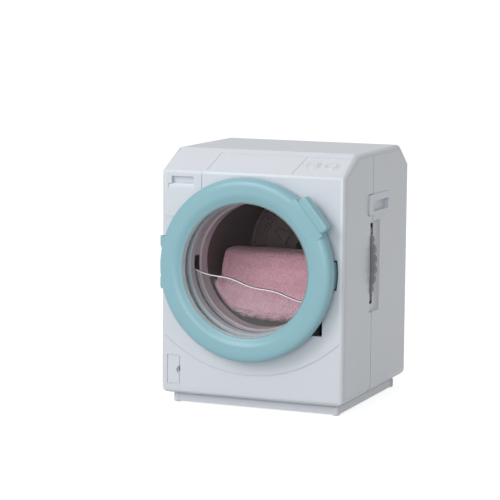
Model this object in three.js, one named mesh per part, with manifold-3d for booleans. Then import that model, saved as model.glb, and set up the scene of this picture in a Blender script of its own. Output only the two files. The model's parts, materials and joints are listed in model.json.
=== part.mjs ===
// A toy washing machine for a doll's house, built from its separate moulded pieces.
// Lengths are in millimetres. X points right, Y to the back and Z up, with the floor at Z = 0.

import * as THREE from "three";
import { mergeVertices } from "three/addons/utils/BufferGeometryUtils.js";
import Module from "manifold-3d";

const wasm = await Module();
wasm.setup();

// Running and seating clearances
const fitGap = 0.3;
const runningGap = 0.08;
const screwGap = 0.1;
const seamGap = 0.1;
const overrun = 1;

// The opening, the drum and the wheel that drives it
const throatRadius = 17.8;
const wheelRim = 10.3;
const wheelProtrusion = 1.45;
const wheelThickness = 1.7;
const wheelChannelGap = 0.82;
const wheelSlotMargin = 0.4;
const scallopCount = 60;
const scallopDepth = 0.56;
const drumMouthSetback = 8.2;
const drumLength = 35.2;
const drumWall = 1.1;
const drumTaper = 0.9;
const drumLipWidth = 2.4;
const drumRibHeight = 1.1;
const drumRibWidth = 1.2;
const rearSpace = 7.63;

// The casing
const wall = 1.6;
const floorRoom = 6.26;
const headRoom = 1.34;
const plinthHeight = 3;
const seamSetback = 22.3;
const creaseDrop = 5.27;
const panelDepth = 10.83;
const rearChamferDepth = 7.37;
const rearChamferDrop = 5.49;
const edgeRadius = 1.6;
const bottomCornerRadius = 2.6;
const deckEdgeRadius = 0.9;
const grooveWidth = 0.35;
const grooveDepth = 0.3;

const wheelRadius = throatRadius + wheelRim;
const channelRadius = wheelRadius + wheelChannelGap;
const halfWidth = wheelRadius - wheelProtrusion;
const bodyDepth = drumMouthSetback + drumLength + rearSpace + wall;
const front = -bodyDepth / 2;
const back = bodyDepth / 2;
const bodyBottom = plinthHeight;
const axisHeight = bodyBottom + wall + floorRoom + wheelRadius;
const totalHeight = axisHeight + wheelRadius + headRoom + wall;
const creaseHeight = totalHeight - creaseDrop;
const seam = front + seamSetback;
const slotHalfHeight = Math.sqrt(channelRadius ** 2 - halfWidth ** 2);
const beyond = 2 * totalHeight;

// Facets of round and rounded forms
const largeSides = 56;
const smallSides = 24;
const screwSides = 12;
const cornerSteps = 3;

const colours = {
  shell: 0xdfe3ea,
  teal: 0x97c6cd,
  clear: 0xdfe4e6,
  drum: 0x4a4040,
  wheel: 0x8a888b,
  steel: 0xb4b6b8,
  towel: 0xd29aab,
};

// Basic solids

function solid(geometry) {
  geometry.deleteAttribute("normal");
  geometry.deleteAttribute("uv");
  const merged = mergeVertices(geometry);
  const corners = merged.index.array;
  const kept = [];
  for (let i = 0; i < corners.length; i += 3) {
    const [a, b, c] = corners.slice(i, i + 3);
    if (a !== b && b !== c && c !== a) kept.push(a, b, c);
  }
  return new wasm.Manifold(new wasm.Mesh({
    numProp: 3,
    vertProperties: new Float32Array(merged.attributes.position.array),
    triVerts: new Uint32Array(kept),
  }));
}

// Corners are [a, b, radius]; a corner with a radius becomes an arc.
function roundedOutline(corners, steps = cornerSteps) {
  const points = [];
  corners.forEach(([a, b, radius = 0], index) => {
    const corner = new THREE.Vector2(a, b);
    if (radius === 0) {
      points.push(corner);
      return;
    }
    const [a0, b0] = corners.at(index - 1);
    const [a1, b1] = corners[(index + 1) % corners.length];
    const toward0 = new THREE.Vector2(a0, b0).sub(corner).normalize();
    const toward1 = new THREE.Vector2(a1, b1).sub(corner).normalize();
    const half = Math.acos(toward0.dot(toward1)) / 2;
    const middle = toward0.clone().add(toward1).normalize();
    const centre = corner.clone().addScaledVector(middle, radius / Math.sin(half));
    const start = corner.clone().addScaledVector(toward0, radius / Math.tan(half)).sub(centre);
    const end = corner.clone().addScaledVector(toward1, radius / Math.tan(half)).sub(centre);
    const turn = Math.atan2(start.cross(end), start.dot(end));
    for (let i = 0; i <= steps; i++) {
      points.push(start.clone().rotateAround(new THREE.Vector2(), (turn * i) / steps).add(centre));
    }
  });
  return new THREE.Shape(points);
}

function rectangle(a0, a1, b0, b1, radius = 0) {
  return roundedOutline([[a0, b0, radius], [a1, b0, radius], [a1, b1, radius], [a0, b1, radius]]);
}

// Shapes are drawn in Y and Z for a prism along X, and in X and Z for one along Y.
function prismX(shape, from, to) {
  const geometry = new THREE.ExtrudeGeometry(shape, { depth: to - from, bevelEnabled: false });
  geometry.applyMatrix4(new THREE.Matrix4().makeBasis(
    new THREE.Vector3(0, 1, 0), new THREE.Vector3(0, 0, 1), new THREE.Vector3(1, 0, 0)));
  geometry.translate(from, 0, 0);
  return solid(geometry);
}

function prismY(shape, from, to) {
  const geometry = new THREE.ExtrudeGeometry(shape, { depth: to - from, bevelEnabled: false });
  geometry.rotateX(Math.PI / 2);
  geometry.translate(0, to, 0);
  return solid(geometry);
}

function prismZ(shape, from, to) {
  const geometry = new THREE.ExtrudeGeometry(shape, { depth: to - from, bevelEnabled: false });
  geometry.translate(0, 0, from);
  return solid(geometry);
}

function box(x0, x1, y0, y1, z0, z1) {
  const geometry = new THREE.BoxGeometry(x1 - x0, y1 - y0, z1 - z0);
  geometry.translate((x0 + x1) / 2, (y0 + y1) / 2, (z0 + z1) / 2);
  return solid(geometry);
}

// Turned about the drum's axis; the profile is [radius, y] and closes on itself.
function turned(profile, sides = largeSides) {
  const points = profile.map(([radius, y]) => new THREE.Vector2(radius, y));
  if (THREE.ShapeUtils.isClockWise(points)) points.reverse();
  points.push(points[0].clone());
  const geometry = new THREE.LatheGeometry(points, sides);
  return solid(geometry).translate([0, 0, axisHeight]);
}

function tube(inner, outer, y0, y1, sides = largeSides) {
  return turned([[inner, y0], [outer, y0], [outer, y1], [inner, y1]], sides);
}

function rodY(radius, x, z, y0, y1, sides = smallSides) {
  const geometry = new THREE.CylinderGeometry(radius, radius, y1 - y0, sides);
  return solid(geometry).translate([x, (y0 + y1) / 2, z]);
}

function rodZ(radius, x, y, z0, z1, sides = smallSides) {
  const geometry = new THREE.CylinderGeometry(radius, radius, z1 - z0, sides);
  geometry.rotateX(Math.PI / 2);
  return solid(geometry).translate([x, y, (z0 + z1) / 2]);
}

// A ring segment about a centre in X and Z, between two angles from +X towards +Z.
function arcBand(inner, outer, angle0, angle1, y0, y1, centreX = 0, centreZ = axisHeight) {
  const shape = new THREE.Shape();
  shape.absarc(centreX, centreZ, outer, angle0, angle1, false);
  shape.absarc(centreX, centreZ, inner, angle1, angle0, true);
  const span = Math.abs(angle1 - angle0) / (2 * Math.PI);
  const geometry = new THREE.ExtrudeGeometry(shape, {
    depth: y1 - y0, bevelEnabled: false, curveSegments: Math.ceil(largeSides * span),
  });
  geometry.rotateX(Math.PI / 2);
  geometry.translate(0, y1, 0);
  return solid(geometry);
}

function join(...pieces) {
  return pieces.flat().reduce((all, piece) => all.add(piece));
}

function cut(base, ...pieces) {
  return pieces.flat().reduce((left, piece) => left.subtract(piece), base);
}

// Casing form

const radians = THREE.MathUtils.degToRad;

const sideCorners = [
  [front, bodyBottom, edgeRadius],
  [front, creaseHeight, edgeRadius],
  [front + panelDepth, totalHeight, deckEdgeRadius],
  [back - rearChamferDepth, totalHeight, edgeRadius],
  [back, totalHeight - rearChamferDrop, edgeRadius],
  [back, bodyBottom, edgeRadius],
];

// Moves every edge of a clockwise outline inwards.
function inset(corners, distance) {
  return corners.map(([a, b], index) => {
    const corner = new THREE.Vector2(a, b);
    const [a0, b0] = corners.at(index - 1);
    const [a1, b1] = corners[(index + 1) % corners.length];
    const into = corner.clone().sub(new THREE.Vector2(a0, b0)).normalize();
    const out = new THREE.Vector2(a1, b1).sub(corner).normalize();
    const normalIn = new THREE.Vector2(into.y, -into.x);
    const normalOut = new THREE.Vector2(out.y, -out.x);
    const middle = normalIn.add(normalOut).normalize();
    corner.addScaledVector(middle, distance / middle.dot(normalOut));
    return [corner.x, corner.y];
  });
}

// Rounds the side edges of a slanted face that rises or falls between two points in Y and Z.
function slantedLimit(y0, z0, y1, z1) {
  const along = new THREE.Vector3(0, y1 - y0, z1 - z0).normalize();
  const outward = new THREE.Vector3(0, -along.z, along.y);
  const section = roundedOutline([
    [-halfWidth, -beyond], [halfWidth, -beyond],
    [halfWidth, 0, edgeRadius], [-halfWidth, 0, edgeRadius],
  ]);
  const geometry = new THREE.ExtrudeGeometry(section, { depth: 2 * beyond, bevelEnabled: false });
  geometry.applyMatrix4(new THREE.Matrix4().makeBasis(
    new THREE.Vector3(1, 0, 0), outward, along.clone().negate()));
  geometry.translate(0, y0 + along.y * beyond, z0 + along.z * beyond);
  return solid(geometry);
}

const frontOutline = roundedOutline([
  [-halfWidth, bodyBottom, bottomCornerRadius], [halfWidth, bodyBottom, bottomCornerRadius],
  [halfWidth, totalHeight, edgeRadius], [-halfWidth, totalHeight, edgeRadius],
]);
const casingForm = prismX(roundedOutline(sideCorners), -halfWidth, halfWidth)
  .intersect(prismY(frontOutline, front, back))
  .intersect(prismZ(rectangle(-halfWidth, halfWidth, front, back, edgeRadius), bodyBottom, totalHeight))
  .intersect(slantedLimit(front, creaseHeight, front + panelDepth, totalHeight))
  .intersect(slantedLimit(back - rearChamferDepth, totalHeight, back, totalHeight - rearChamferDrop));
const casingHollow = prismX(roundedOutline(inset(sideCorners, wall)), -halfWidth + wall, halfWidth - wall);

const wheelFront = seam - wheelThickness;
const wheelSlot = rodY(channelRadius, 0, axisHeight, wheelFront - wheelSlotMargin,
  seam + wheelSlotMargin, largeSides);

// Tub collar, and the slot that it leaves for the wave screen

const throatWall = 1.4;
const throatLength = 2.5;
const waveSlotWidth = 2.5;
const collarWall = 1.2;
const collarFlange = 1.3;
const collarChannel = 2.3;
const tunnelStep = 0.55;
const spigotWall = 0.95;
const drumOverlap = 2;
const waveSlotHalfAngle = radians(97);
const waveHalfAngle = radians(73);
const waveTilt = radians(12);
const reliefDepth = 0.6;
const earRoot = 9;

const throatEnd = front + throatLength;
const collarFront = throatEnd + waveSlotWidth;
const collarBack = front + drumMouthSetback + drumOverlap;
const spigotInner = throatRadius - tunnelStep;
const spigotOuter = spigotInner + spigotWall;
const skirtInner = throatRadius + collarChannel;
const skirtOuter = skirtInner + collarWall;

// Square mould windows in the front, each with a snap hook behind it that holds the collar

const windowAngle = radians(40.5);
const windowMargin = 0.6;
const windowWidths = { lower: 5.45, upper: 4 };
const windowHeights = { lower: 4.2, upper: 3 };
const hookInset = 0.2;
const hookWidth = 1.8;
const hookThickness = 1.3;
const hookTooth = 1.4;
const hookToothLength = 1.2;
const earThickness = 1.3;

const windowNear = throatRadius + throatWall + windowMargin;
const windowX = windowNear * Math.cos(windowAngle);
const windowZ = windowNear * Math.sin(windowAngle);
const quarters = [[1, 1], [1, -1], [-1, 1], [-1, -1]];

function mirroredBox(sx, sz, x0, x1, y0, y1, z0, z1) {
  const xs = [sx * x0, sx * x1].sort((a, b) => a - b);
  const zs = [sz * z0, sz * z1].sort((a, b) => a - b);
  return box(xs[0], xs[1], y0, y1, axisHeight + zs[0], axisHeight + zs[1]);
}

const hookX = windowX + hookInset;
const earFront = collarFront + collarFlange - earThickness;
const toothFront = collarFront + collarFlange + fitGap;

function row(sz) {
  return sz > 0 ? "upper" : "lower";
}

const windows = quarters.map(([sx, sz]) => mirroredBox(sx, sz,
  windowX, windowX + windowWidths[row(sz)], front - overrun, front + wall + overrun,
  windowZ, windowZ + windowHeights[row(sz)]));
const hooks = quarters.map(([sx, sz]) => {
  const armInner = windowZ + windowHeights[row(sz)] + hookInset;
  const toothBack = toothFront + hookToothLength;
  return join(
    mirroredBox(sx, sz, hookX, hookX + hookWidth, front + wall / 2, toothBack,
      armInner, armInner + hookThickness),
    mirroredBox(sx, sz, hookX, hookX + hookWidth, toothFront, toothBack,
      armInner - hookTooth, armInner + hookThickness));
});
const ears = quarters.map(([sx, sz]) => mirroredBox(sx, sz, earRoot, hookX + hookWidth,
  earFront, collarFront + collarFlange,
  earRoot, windowZ + windowHeights[row(sz)] + hookInset - fitGap));

function makeTubCollar() {
  const body = turned([
    [spigotInner, collarBack], [spigotInner, collarFront + collarFlange / 2],
    [throatRadius, collarFront + collarFlange / 2], [throatRadius, throatEnd + fitGap],
    [throatRadius + collarWall, throatEnd + fitGap], [throatRadius + collarWall, collarFront],
    [skirtInner, collarFront], [skirtInner, front + wall + fitGap],
    [skirtOuter, front + wall + fitGap], [skirtOuter, collarFront + collarFlange],
    [spigotOuter, collarFront + collarFlange], [spigotOuter, collarBack],
  ]);
  const bore = rodY(throatRadius + collarWall / 2, 0, axisHeight, collarFront - overrun,
    collarBack + overrun, largeSides);
  const relief = arcBand(throatRadius - overrun, throatRadius + collarWall + reliefDepth,
    -Math.PI / 2 - waveSlotHalfAngle, -Math.PI / 2 + waveSlotHalfAngle,
    throatEnd - overrun, collarFront);
  return join(cut(body, relief), ears.map((ear) => cut(ear, bore)));
}

function makeWaveScreen() {
  const shoeInner = throatRadius + fitGap;
  const shoeOuter = skirtInner - fitGap;
  const plateThickness = 0.9;
  const waveHeight = 0.3;
  const waveCount = 2.8;
  const waveStartShare = 0.59;
  const waveSteps = 28;
  const plateY = (throatEnd + collarFront) / 2;
  const outline = [];
  const chordX = shoeOuter * Math.sin(waveHalfAngle);
  const chordZ = -shoeOuter * Math.cos(waveHalfAngle);
  for (let i = 0; i <= waveSteps; i++) {
    const share = i / waveSteps;
    const lift = waveHeight * Math.sin(2 * Math.PI * waveCount * (share - waveStartShare));
    outline.push(new THREE.Vector2(chordX * (2 * share - 1), chordZ + lift));
  }
  for (let i = 1; i < waveSteps; i++) {
    const angle = waveHalfAngle * (1 - (2 * i) / waveSteps);
    outline.push(new THREE.Vector2(shoeOuter * Math.sin(angle), -shoeOuter * Math.cos(angle)));
  }
  const plate = prismY(new THREE.Shape(outline), plateY - plateThickness / 2, plateY + plateThickness / 2)
    .translate([0, 0, axisHeight]);
  const shoe = arcBand(shoeInner, shoeOuter, -Math.PI / 2 - waveHalfAngle, -Math.PI / 2 + waveHalfAngle,
    throatEnd + fitGap, collarFront - fitGap);
  return turnAboutAxis(join(plate, shoe), -waveTilt);
}

// Positive angles turn from +X towards +Z, as arcBand counts them.
function turnAboutAxis(piece, angle) {
  return piece.translate([0, 0, -axisHeight])
    .rotate([0, -THREE.MathUtils.radToDeg(angle), 0])
    .translate([0, 0, axisHeight]);
}

// Door: the ring, its handle, hinge knuckles and latch lug

const doorSideMargin = 1.75;
const lipOverlap = 0.45;
const doorStandOff = 0.8;
const doorWidestAt = 3.4;
const doorCrown = 5.95;
const lipHeight = 5;
const lipChamfer = 0.3;
const crownShare = 0.42;
const doorSkin = 1.2;
const doorTuck = 0.9;
const innerTuck = 0.3;
const glassThickness = 1;
const glassSeat = 1.9;
const glassDome = 0.7;
const hingeInset = 1.2;
const knuckleRadius = 1.8;
const knuckleHeight = 2.8;
const knuckleSpread = 5.65;
const knuckleShift = 0.4;
const pinRadius = 0.5;
const pinBossHeight = 1.6;
const latchHalfAngle = radians(8.75);
const latchDrop = radians(0.95);
const latchThickness = 1.4;
const latchReach = 3;
const latchHoleGap = 0.35;
const latchMargin = 0.6;
const handleAngle = radians(39);
const handleLength = 10.8;
const handleWidth = 2.8;
const handleOverhang = 2.2;
const handleRise = 0.9;
const handleThickness = 3.2;
const handleBevel = 0.45;
const padMargin = 0.75;
const padShift = 0.3;
const padReach = 4.9;

const doorOuter = halfWidth - doorSideMargin;
const doorInner = throatRadius + lipOverlap;
const hingeX = -halfWidth + hingeInset;
const hingeY = front + hingeInset;
const hingeHeight = axisHeight + knuckleShift;
const hingeReach = knuckleSpread + knuckleHeight / 2 + fitGap + pinBossHeight;
const knuckleLevels = [-1, 1].map((side) => hingeHeight + side * knuckleSpread);
const latchOuter = halfWidth - wall - latchMargin;
const latchInner = latchOuter - latchThickness;

// The outside of the ring's section, from the inner lip over the crown to the widest point.
function crownPoints(lowering, steps) {
  const crownAt = doorInner + (doorOuter - doorInner) * crownShare;
  const points = [];
  const innerRise = doorCrown - lipHeight;
  for (let i = 0; i <= steps; i++) {
    const share = i / steps;
    const radius = doorInner + (crownAt - doorInner) * share;
    points.push([radius, front - (lipHeight + innerRise * Math.sin((Math.PI / 2) * share)) + lowering]);
  }
  for (let i = 1; i <= steps; i++) {
    const angle = (Math.PI / 2) * (i / steps);
    const radius = crownAt + (doorOuter - crownAt) * Math.sin(angle);
    const height = doorWidestAt + (doorCrown - doorWidestAt) * Math.cos(angle);
    points.push([radius, front - height + lowering]);
  }
  return points;
}

function makeDoorRing() {
  const steps = 4;
  const outside = crownPoints(0, steps);
  outside[0] = [doorInner + lipChamfer, outside[0][1]];
  const glassFace = front - glassSeat - glassThickness - fitGap;
  const skinInner = doorOuter - doorSkin;
  const ring = turned([
    [doorInner, glassFace], [doorInner, front - lipHeight + lipChamfer],
    ...outside,
    [doorOuter - doorTuck, front - doorStandOff],
    [skinInner - doorTuck, front - doorStandOff],
    [skinInner - innerTuck, front - doorWidestAt + doorSkin],
    [doorOuter - 2 * doorSkin, front - doorWidestAt - doorSkin / 2],
    [doorInner + doorSkin, glassFace - doorSkin / 2], [doorInner + doorSkin, glassFace],
  ]);
  const padTop = front - doorCrown;
  const padBase = front - doorWidestAt;
  const reachOut = doorOuter + handleOverhang;
  const padHalf = handleLength / 2 + padMargin;
  const pad = cut(
    prismY(rectangle(doorOuter - padReach, doorOuter, padShift - padHalf, padShift + padHalf), padTop, padBase)
      .translate([0, 0, axisHeight]),
    tube(doorOuter, doorOuter + padHalf, padTop - overrun, padBase + overrun));
  const grip = new THREE.ExtrudeGeometry(
    rectangle(reachOut - handleWidth + handleBevel, reachOut - handleBevel,
      -handleLength / 2 + handleBevel, handleLength / 2 - handleBevel, handleBevel),
    {
      depth: handleThickness - 2 * handleBevel, bevelThickness: handleBevel, bevelSize: handleBevel,
      bevelSegments: 2,
    });
  grip.rotateX(Math.PI / 2);
  grip.translate(0, padTop - handleRise + handleThickness - handleBevel, axisHeight);
  const handle = turnAboutAxis(join(pad, solid(grip)), handleAngle);
  const lug = arcBand(latchInner, latchOuter, -latchDrop - latchHalfAngle, -latchDrop + latchHalfAngle,
    front - doorWidestAt + doorSkin, front + latchReach);
  const insideSkirt = rodY(doorOuter - doorTuck - doorSkin / 2, 0, axisHeight,
    front - doorCrown, back, largeSides);
  const knuckles = knuckleLevels.map((level) => join(
    rodZ(knuckleRadius, hingeX, hingeY, level - knuckleHeight / 2, level + knuckleHeight / 2),
    cut(box(hingeX, hingeX + knuckleRadius + hingeInset, front - doorWidestAt + doorSkin / 2,
      front - fitGap, level - knuckleHeight / 2, level + knuckleHeight / 2), insideSkirt)));
  const pinBores = knuckleLevels.map((level) => rodZ(pinRadius + runningGap, hingeX, hingeY,
    level - knuckleHeight, level + knuckleHeight));
  return cut(join(ring, handle, lug, knuckles), pinBores);
}

function makeDoorBackRing() {
  const inner = doorInner + lipChamfer;
  const outer = doorOuter - doorSkin - doorTuck - fitGap;
  return tube(inner, outer, front - glassSeat + fitGap, front - doorStandOff);
}

function makeDoorWindow() {
  const flange = doorOuter - 2 * doorSkin - doorTuck - fitGap;
  const rear = front - glassSeat;
  const face = rear - glassThickness;
  const domeSteps = 4;
  const domeFront = [];
  const domeBack = [];
  for (let i = 0; i <= domeSteps; i++) {
    const angle = (Math.PI / 2) * (i / domeSteps);
    domeFront.push([throatRadius * Math.sin(angle), face - glassDome * Math.cos(angle)]);
    domeBack.unshift([throatRadius * Math.sin(angle), rear - glassDome * Math.cos(angle)]);
  }
  domeFront[0][0] = 0;
  domeBack.at(-1)[0] = 0;
  return turned([...domeFront, [flange, face], [flange, rear], ...domeBack]);
}

function makeHingePin() {
  const reach = hingeReach - fitGap;
  return rodZ(pinRadius, hingeX, hingeY, hingeHeight - reach, hingeHeight + reach);
}

// Screws

const screwShank = 0.75;
const screwHead = 1.6;
const screwHeadHeight = 1.1;
const screwWellGap = 0.3;
const bossWall = 1;
const bossInset = 4.6;
const bossHeadInset = 7.6;
const bossFloorInset = 5;
const screwWeb = 2;
const screwReach = 6;
const postRadius = 2.4;
const wellRadius = screwHead + screwWellGap;
const pilotRadius = screwShank + screwGap;
const screwPlaces = [-1, 1].flatMap((side) => [
  [side * (halfWidth - bossInset), bodyBottom + bossFloorInset],
  [side * (halfWidth - bossInset), totalHeight - bossHeadInset],
]);
const screwSeat = seam + screwWeb;

function makeScrewY(x, z, seat) {
  const head = seat + screwGap;
  return join(
    rodY(screwHead, x, z, head, head + screwHeadHeight, screwSides),
    rodY(screwShank, x, z, seam - screwReach, head + screwHeadHeight / 2, screwSides));
}

// Base tray, feet and its screws

const plinthInsetX = 2.6;
const plinthInsetY = 3.5;
const plinthWall = 1.2;
const plinthGap = 0.3;
const footRadius = 1.2;
const footDrop = 0.3;
const footProud = 0.35;
const baseBossRadius = 2.2;
const baseBossHeight = 6.5;
const baseScrewInset = 8;
const baseScrewReach = 5;
const trayTop = bodyBottom - plinthGap;
const trayFloor = trayTop - plinthWall;
const baseScrewPlaces = [front + baseScrewInset, back - baseScrewInset];

function makeBaseTray() {
  const x = halfWidth - plinthInsetX;
  const y = back - plinthInsetY;
  const rim = prismZ(rectangle(-x, x, -y, y, footRadius), footDrop, trayTop);
  const hollow = box(-x + plinthWall, x - plinthWall, -y + plinthWall, y - plinthWall, -overrun, trayFloor);
  const feet = [-1, 1].flatMap((sx) => [-1, 1].map((sy) => rodZ(footRadius,
    sx * (x - footRadius + footProud), sy * (y - footRadius + footProud), 0, trayTop)));
  const holes = baseScrewPlaces.map((place) => rodZ(pilotRadius, 0, place, 0, bodyBottom, screwSides));
  return cut(join(cut(rim, hollow), feet), holes);
}

function makeBaseScrew(y) {
  const head = trayFloor - screwGap;
  return join(
    rodZ(screwHead, 0, y, head - screwHeadHeight, head, screwSides),
    rodZ(screwShank, 0, y, head - screwHeadHeight / 2, bodyBottom + baseScrewReach, screwSides));
}

function baseBosses() {
  return baseScrewPlaces.map((y) => rodZ(baseBossRadius, 0, y, bodyBottom + wall / 2,
    bodyBottom + baseBossHeight));
}

function baseBossBores() {
  return baseScrewPlaces.map((y) => rodZ(pilotRadius, 0, y, bodyBottom - overrun,
    bodyBottom + baseScrewReach + screwGap, screwSides));
}

// Front shell

const drawerMargin = 2.1;
const drawerRecessWidth = 7.5;
const drawerRecessTop = 1.75;
const drawerPocketHeight = 2;
const drawerLipHeight = 1.75;
const drawerPocketDepth = 1;
const drawerWidth = 11.9;
const drawerHeight = 12.76;
const flapMargin = 1.95;
const flapRise = 2.61;
const flapWidth = 3.95;
const flapHeight = 8.15;
const flapNotchRadius = 1.15;
const arcGrooveRadius = 37.1;
const arcGrooveRise = 6.68;
const arcGrooveShift = 0.3;
const arcGrooveEndMargin = 1.2;
const panelInsetDepth = 0.25;
const panelLeft = 12.6;
const panelRightMargin = 1.74;
const panelLowShare = 0.05;
const panelHighShare = 0.82;
const displayRight = 11.66;
const displaySlant = 0.85;
const displayStep = 0.12;
const buttonMargins = [11.28, 5.94];
const buttonShare = 0.475;
const buttonRadius = 1.6;
const buttonHeight = 0.3;
const buttonDomeRadius = 0.75;
const buttonGroove = 0.22;

const panelAngle = Math.atan2(creaseDrop, panelDepth);
const panelLength = Math.hypot(creaseDrop, panelDepth);

// Places a solid made over X and Y onto the slanted panel, with Y running up the slope.
function onPanel(piece) {
  return piece.rotate([THREE.MathUtils.radToDeg(panelAngle), 0, 0]).translate([0, front, creaseHeight]);
}

function outlineGroove(x0, x1, z0, z1) {
  return [
    box(x0, x1, front - overrun, front + grooveDepth, z0, z0 + grooveWidth),
    box(x0, x1, front - overrun, front + grooveDepth, z1 - grooveWidth, z1),
    box(x0, x0 + grooveWidth, front - overrun, front + grooveDepth, z0, z1),
    box(x1 - grooveWidth, x1, front - overrun, front + grooveDepth, z0, z1),
  ];
}

function drawerCuts() {
  const left = -halfWidth + drawerMargin;
  const right = left + drawerRecessWidth;
  const top = creaseHeight - drawerRecessTop;
  const pocketFloor = top - drawerPocketHeight;
  const lipFloor = pocketFloor - drawerLipHeight;
  const seamX = -halfWidth + drawerWidth;
  const bottom = creaseHeight - drawerHeight;
  const lip = roundedOutline([
    [front - overrun, lipFloor], [front, lipFloor], [front + drawerPocketDepth / 2, pocketFloor],
    [front - overrun, pocketFloor],
  ]);
  return [
    box(left + drawerPocketDepth, right, front - overrun, front + drawerPocketDepth, pocketFloor, top),
    prismX(lip, left, right),
    box(seamX, seamX + grooveWidth, front - overrun, front + grooveDepth, bottom, creaseHeight),
    box(-halfWidth - overrun, seamX + grooveWidth, front - overrun, front + grooveDepth,
      bottom - grooveWidth, bottom),
    box(-halfWidth - overrun, -halfWidth + grooveDepth, front - overrun, front + edgeRadius,
      bottom - grooveWidth, bottom),
  ];
}

function flapCuts() {
  const left = -halfWidth + flapMargin;
  const right = left + flapWidth;
  const low = bodyBottom + flapRise;
  return [
    ...outlineGroove(left, right, low, low + flapHeight),
    cut(
      rodY(flapNotchRadius, right, low + flapHeight / 2, front - overrun, front + wall / 2),
      box(right, right + flapNotchRadius + overrun, front - 2 * overrun, back,
        low, low + flapHeight)),
  ];
}

function arcGrooveCut() {
  const centreZ = bodyBottom + arcGrooveRise + arcGrooveRadius;
  const left = Math.asin((halfWidth - arcGrooveShift) / arcGrooveRadius);
  const right = Math.asin((halfWidth + arcGrooveShift - arcGrooveEndMargin) / arcGrooveRadius);
  return arcBand(arcGrooveRadius - grooveWidth / 2, arcGrooveRadius + grooveWidth / 2,
    -Math.PI / 2 - left, -Math.PI / 2 + right, front - overrun, front + grooveDepth,
    -arcGrooveShift, centreZ);
}

function panelCuts() {
  const low = panelLength * panelLowShare;
  const high = panelLength * panelHighShare;
  const right = halfWidth - panelRightMargin;
  const recess = prismZ(roundedOutline([
    [-panelLeft - displaySlant, low], [right - displaySlant, low], [right, high], [-panelLeft, high],
  ]), -panelInsetDepth, overrun);
  const display = prismZ(roundedOutline([
    [-panelLeft - displaySlant - overrun, low - overrun], [displayRight - displaySlant, low - overrun],
    [displayRight + displaySlant, high + overrun], [-panelLeft - overrun, high + overrun],
  ]), -panelInsetDepth - overrun, displayStep - panelInsetDepth);
  return onPanel(cut(recess, display));
}

function panelButtons() {
  return buttonMargins.map((margin) => {
    const profile = [
      [0, -panelInsetDepth - wall / 2], [buttonRadius, -panelInsetDepth - wall / 2],
      [buttonRadius, buttonHeight - panelInsetDepth - buttonGroove],
      [buttonRadius - buttonGroove, buttonHeight - panelInsetDepth],
      [buttonDomeRadius + buttonGroove, buttonHeight - panelInsetDepth - buttonGroove],
      [buttonDomeRadius, buttonHeight - panelInsetDepth - buttonGroove],
      [0, buttonHeight - panelInsetDepth],
    ].map(([radius, height]) => new THREE.Vector2(radius, height));
    const geometry = new THREE.LatheGeometry(profile, smallSides);
    geometry.rotateX(Math.PI / 2);
    return onPanel(solid(geometry).translate([halfWidth - margin, panelLength * buttonShare, 0]));
  });
}

// Side grips: a raised frame with a pocket on each side of the rear shell, reaching over the seam

const gripReach = 3.8;
const gripLength = 16;
const gripHeight = 5.58;
const gripRise = 2.49;
const gripProud = 0.45;
const gripLap = 1.1;
const pocketMargin = 0.85;
const pocketFront = 2.9;
const pocketTop = 1.95;
const pocketDepth = 0.7;
const recessBelow = 1.93;
const recessAbove = 0.78;
const recessWidth = 5.8;
const recessDepth = 0.9;
const recessChamfer = 1.2;

const gripLow = axisHeight + slotHalfHeight + gripRise;
const gripFront = seam - gripReach;
const gripCorner = 0.5;

function gripBlock(side, grow, thickness) {
  const outline = rectangle(gripFront - grow, gripFront + gripLength + grow,
    gripLow - grow, gripLow + gripHeight + grow, gripCorner);
  const inner = halfWidth - thickness;
  const outer = halfWidth + gripProud;
  return side > 0 ? prismX(outline, inner - grow, outer) : prismX(outline, -outer, -inner + grow);
}

function gripPocket(side) {
  const outline = rectangle(gripFront + pocketFront, gripFront + gripLength - pocketMargin,
    gripLow + pocketMargin, gripLow + gripHeight - pocketTop);
  const floor = halfWidth - pocketDepth;
  return side > 0 ? prismX(outline, floor, halfWidth + overrun) : prismX(outline, -halfWidth - overrun, -floor);
}

function fingerRecess(side) {
  const low = axisHeight - slotHalfHeight - recessBelow;
  const high = axisHeight + slotHalfHeight + recessAbove;
  const start = wheelFront - wheelSlotMargin;
  const plan = roundedOutline([
    [side * (halfWidth + overrun), start],
    [side * (halfWidth - recessDepth), start],
    [side * (halfWidth - recessDepth), seam + recessWidth - recessChamfer],
    [side * halfWidth, seam + recessWidth],
    [side * (halfWidth + overrun), seam + recessWidth],
  ]);
  return prismZ(plan, low, high);
}

const sides = [-1, 1];

function latchHole() {
  return arcBand(latchInner - latchHoleGap, latchOuter + latchHoleGap,
    -latchDrop - latchHalfAngle - latchHoleGap / latchOuter,
    -latchDrop + latchHalfAngle + latchHoleGap / latchOuter, front - overrun, front + wall + overrun);
}

function hingeBoss() {
  const reach = hingeReach + pinBossHeight / 2;
  return rodZ(knuckleRadius, hingeX, hingeY, hingeHeight - reach, hingeHeight + reach)
    .intersect(casingForm);
}

function hingeCuts() {
  const notches = knuckleLevels.map((level) => rodZ(knuckleRadius + fitGap, hingeX, hingeY,
    level - knuckleHeight / 2 - fitGap, level + knuckleHeight / 2 + fitGap));
  return [...notches, rodZ(pinRadius + runningGap, hingeX, hingeY,
    hingeHeight - hingeReach, hingeHeight + hingeReach)];
}

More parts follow.
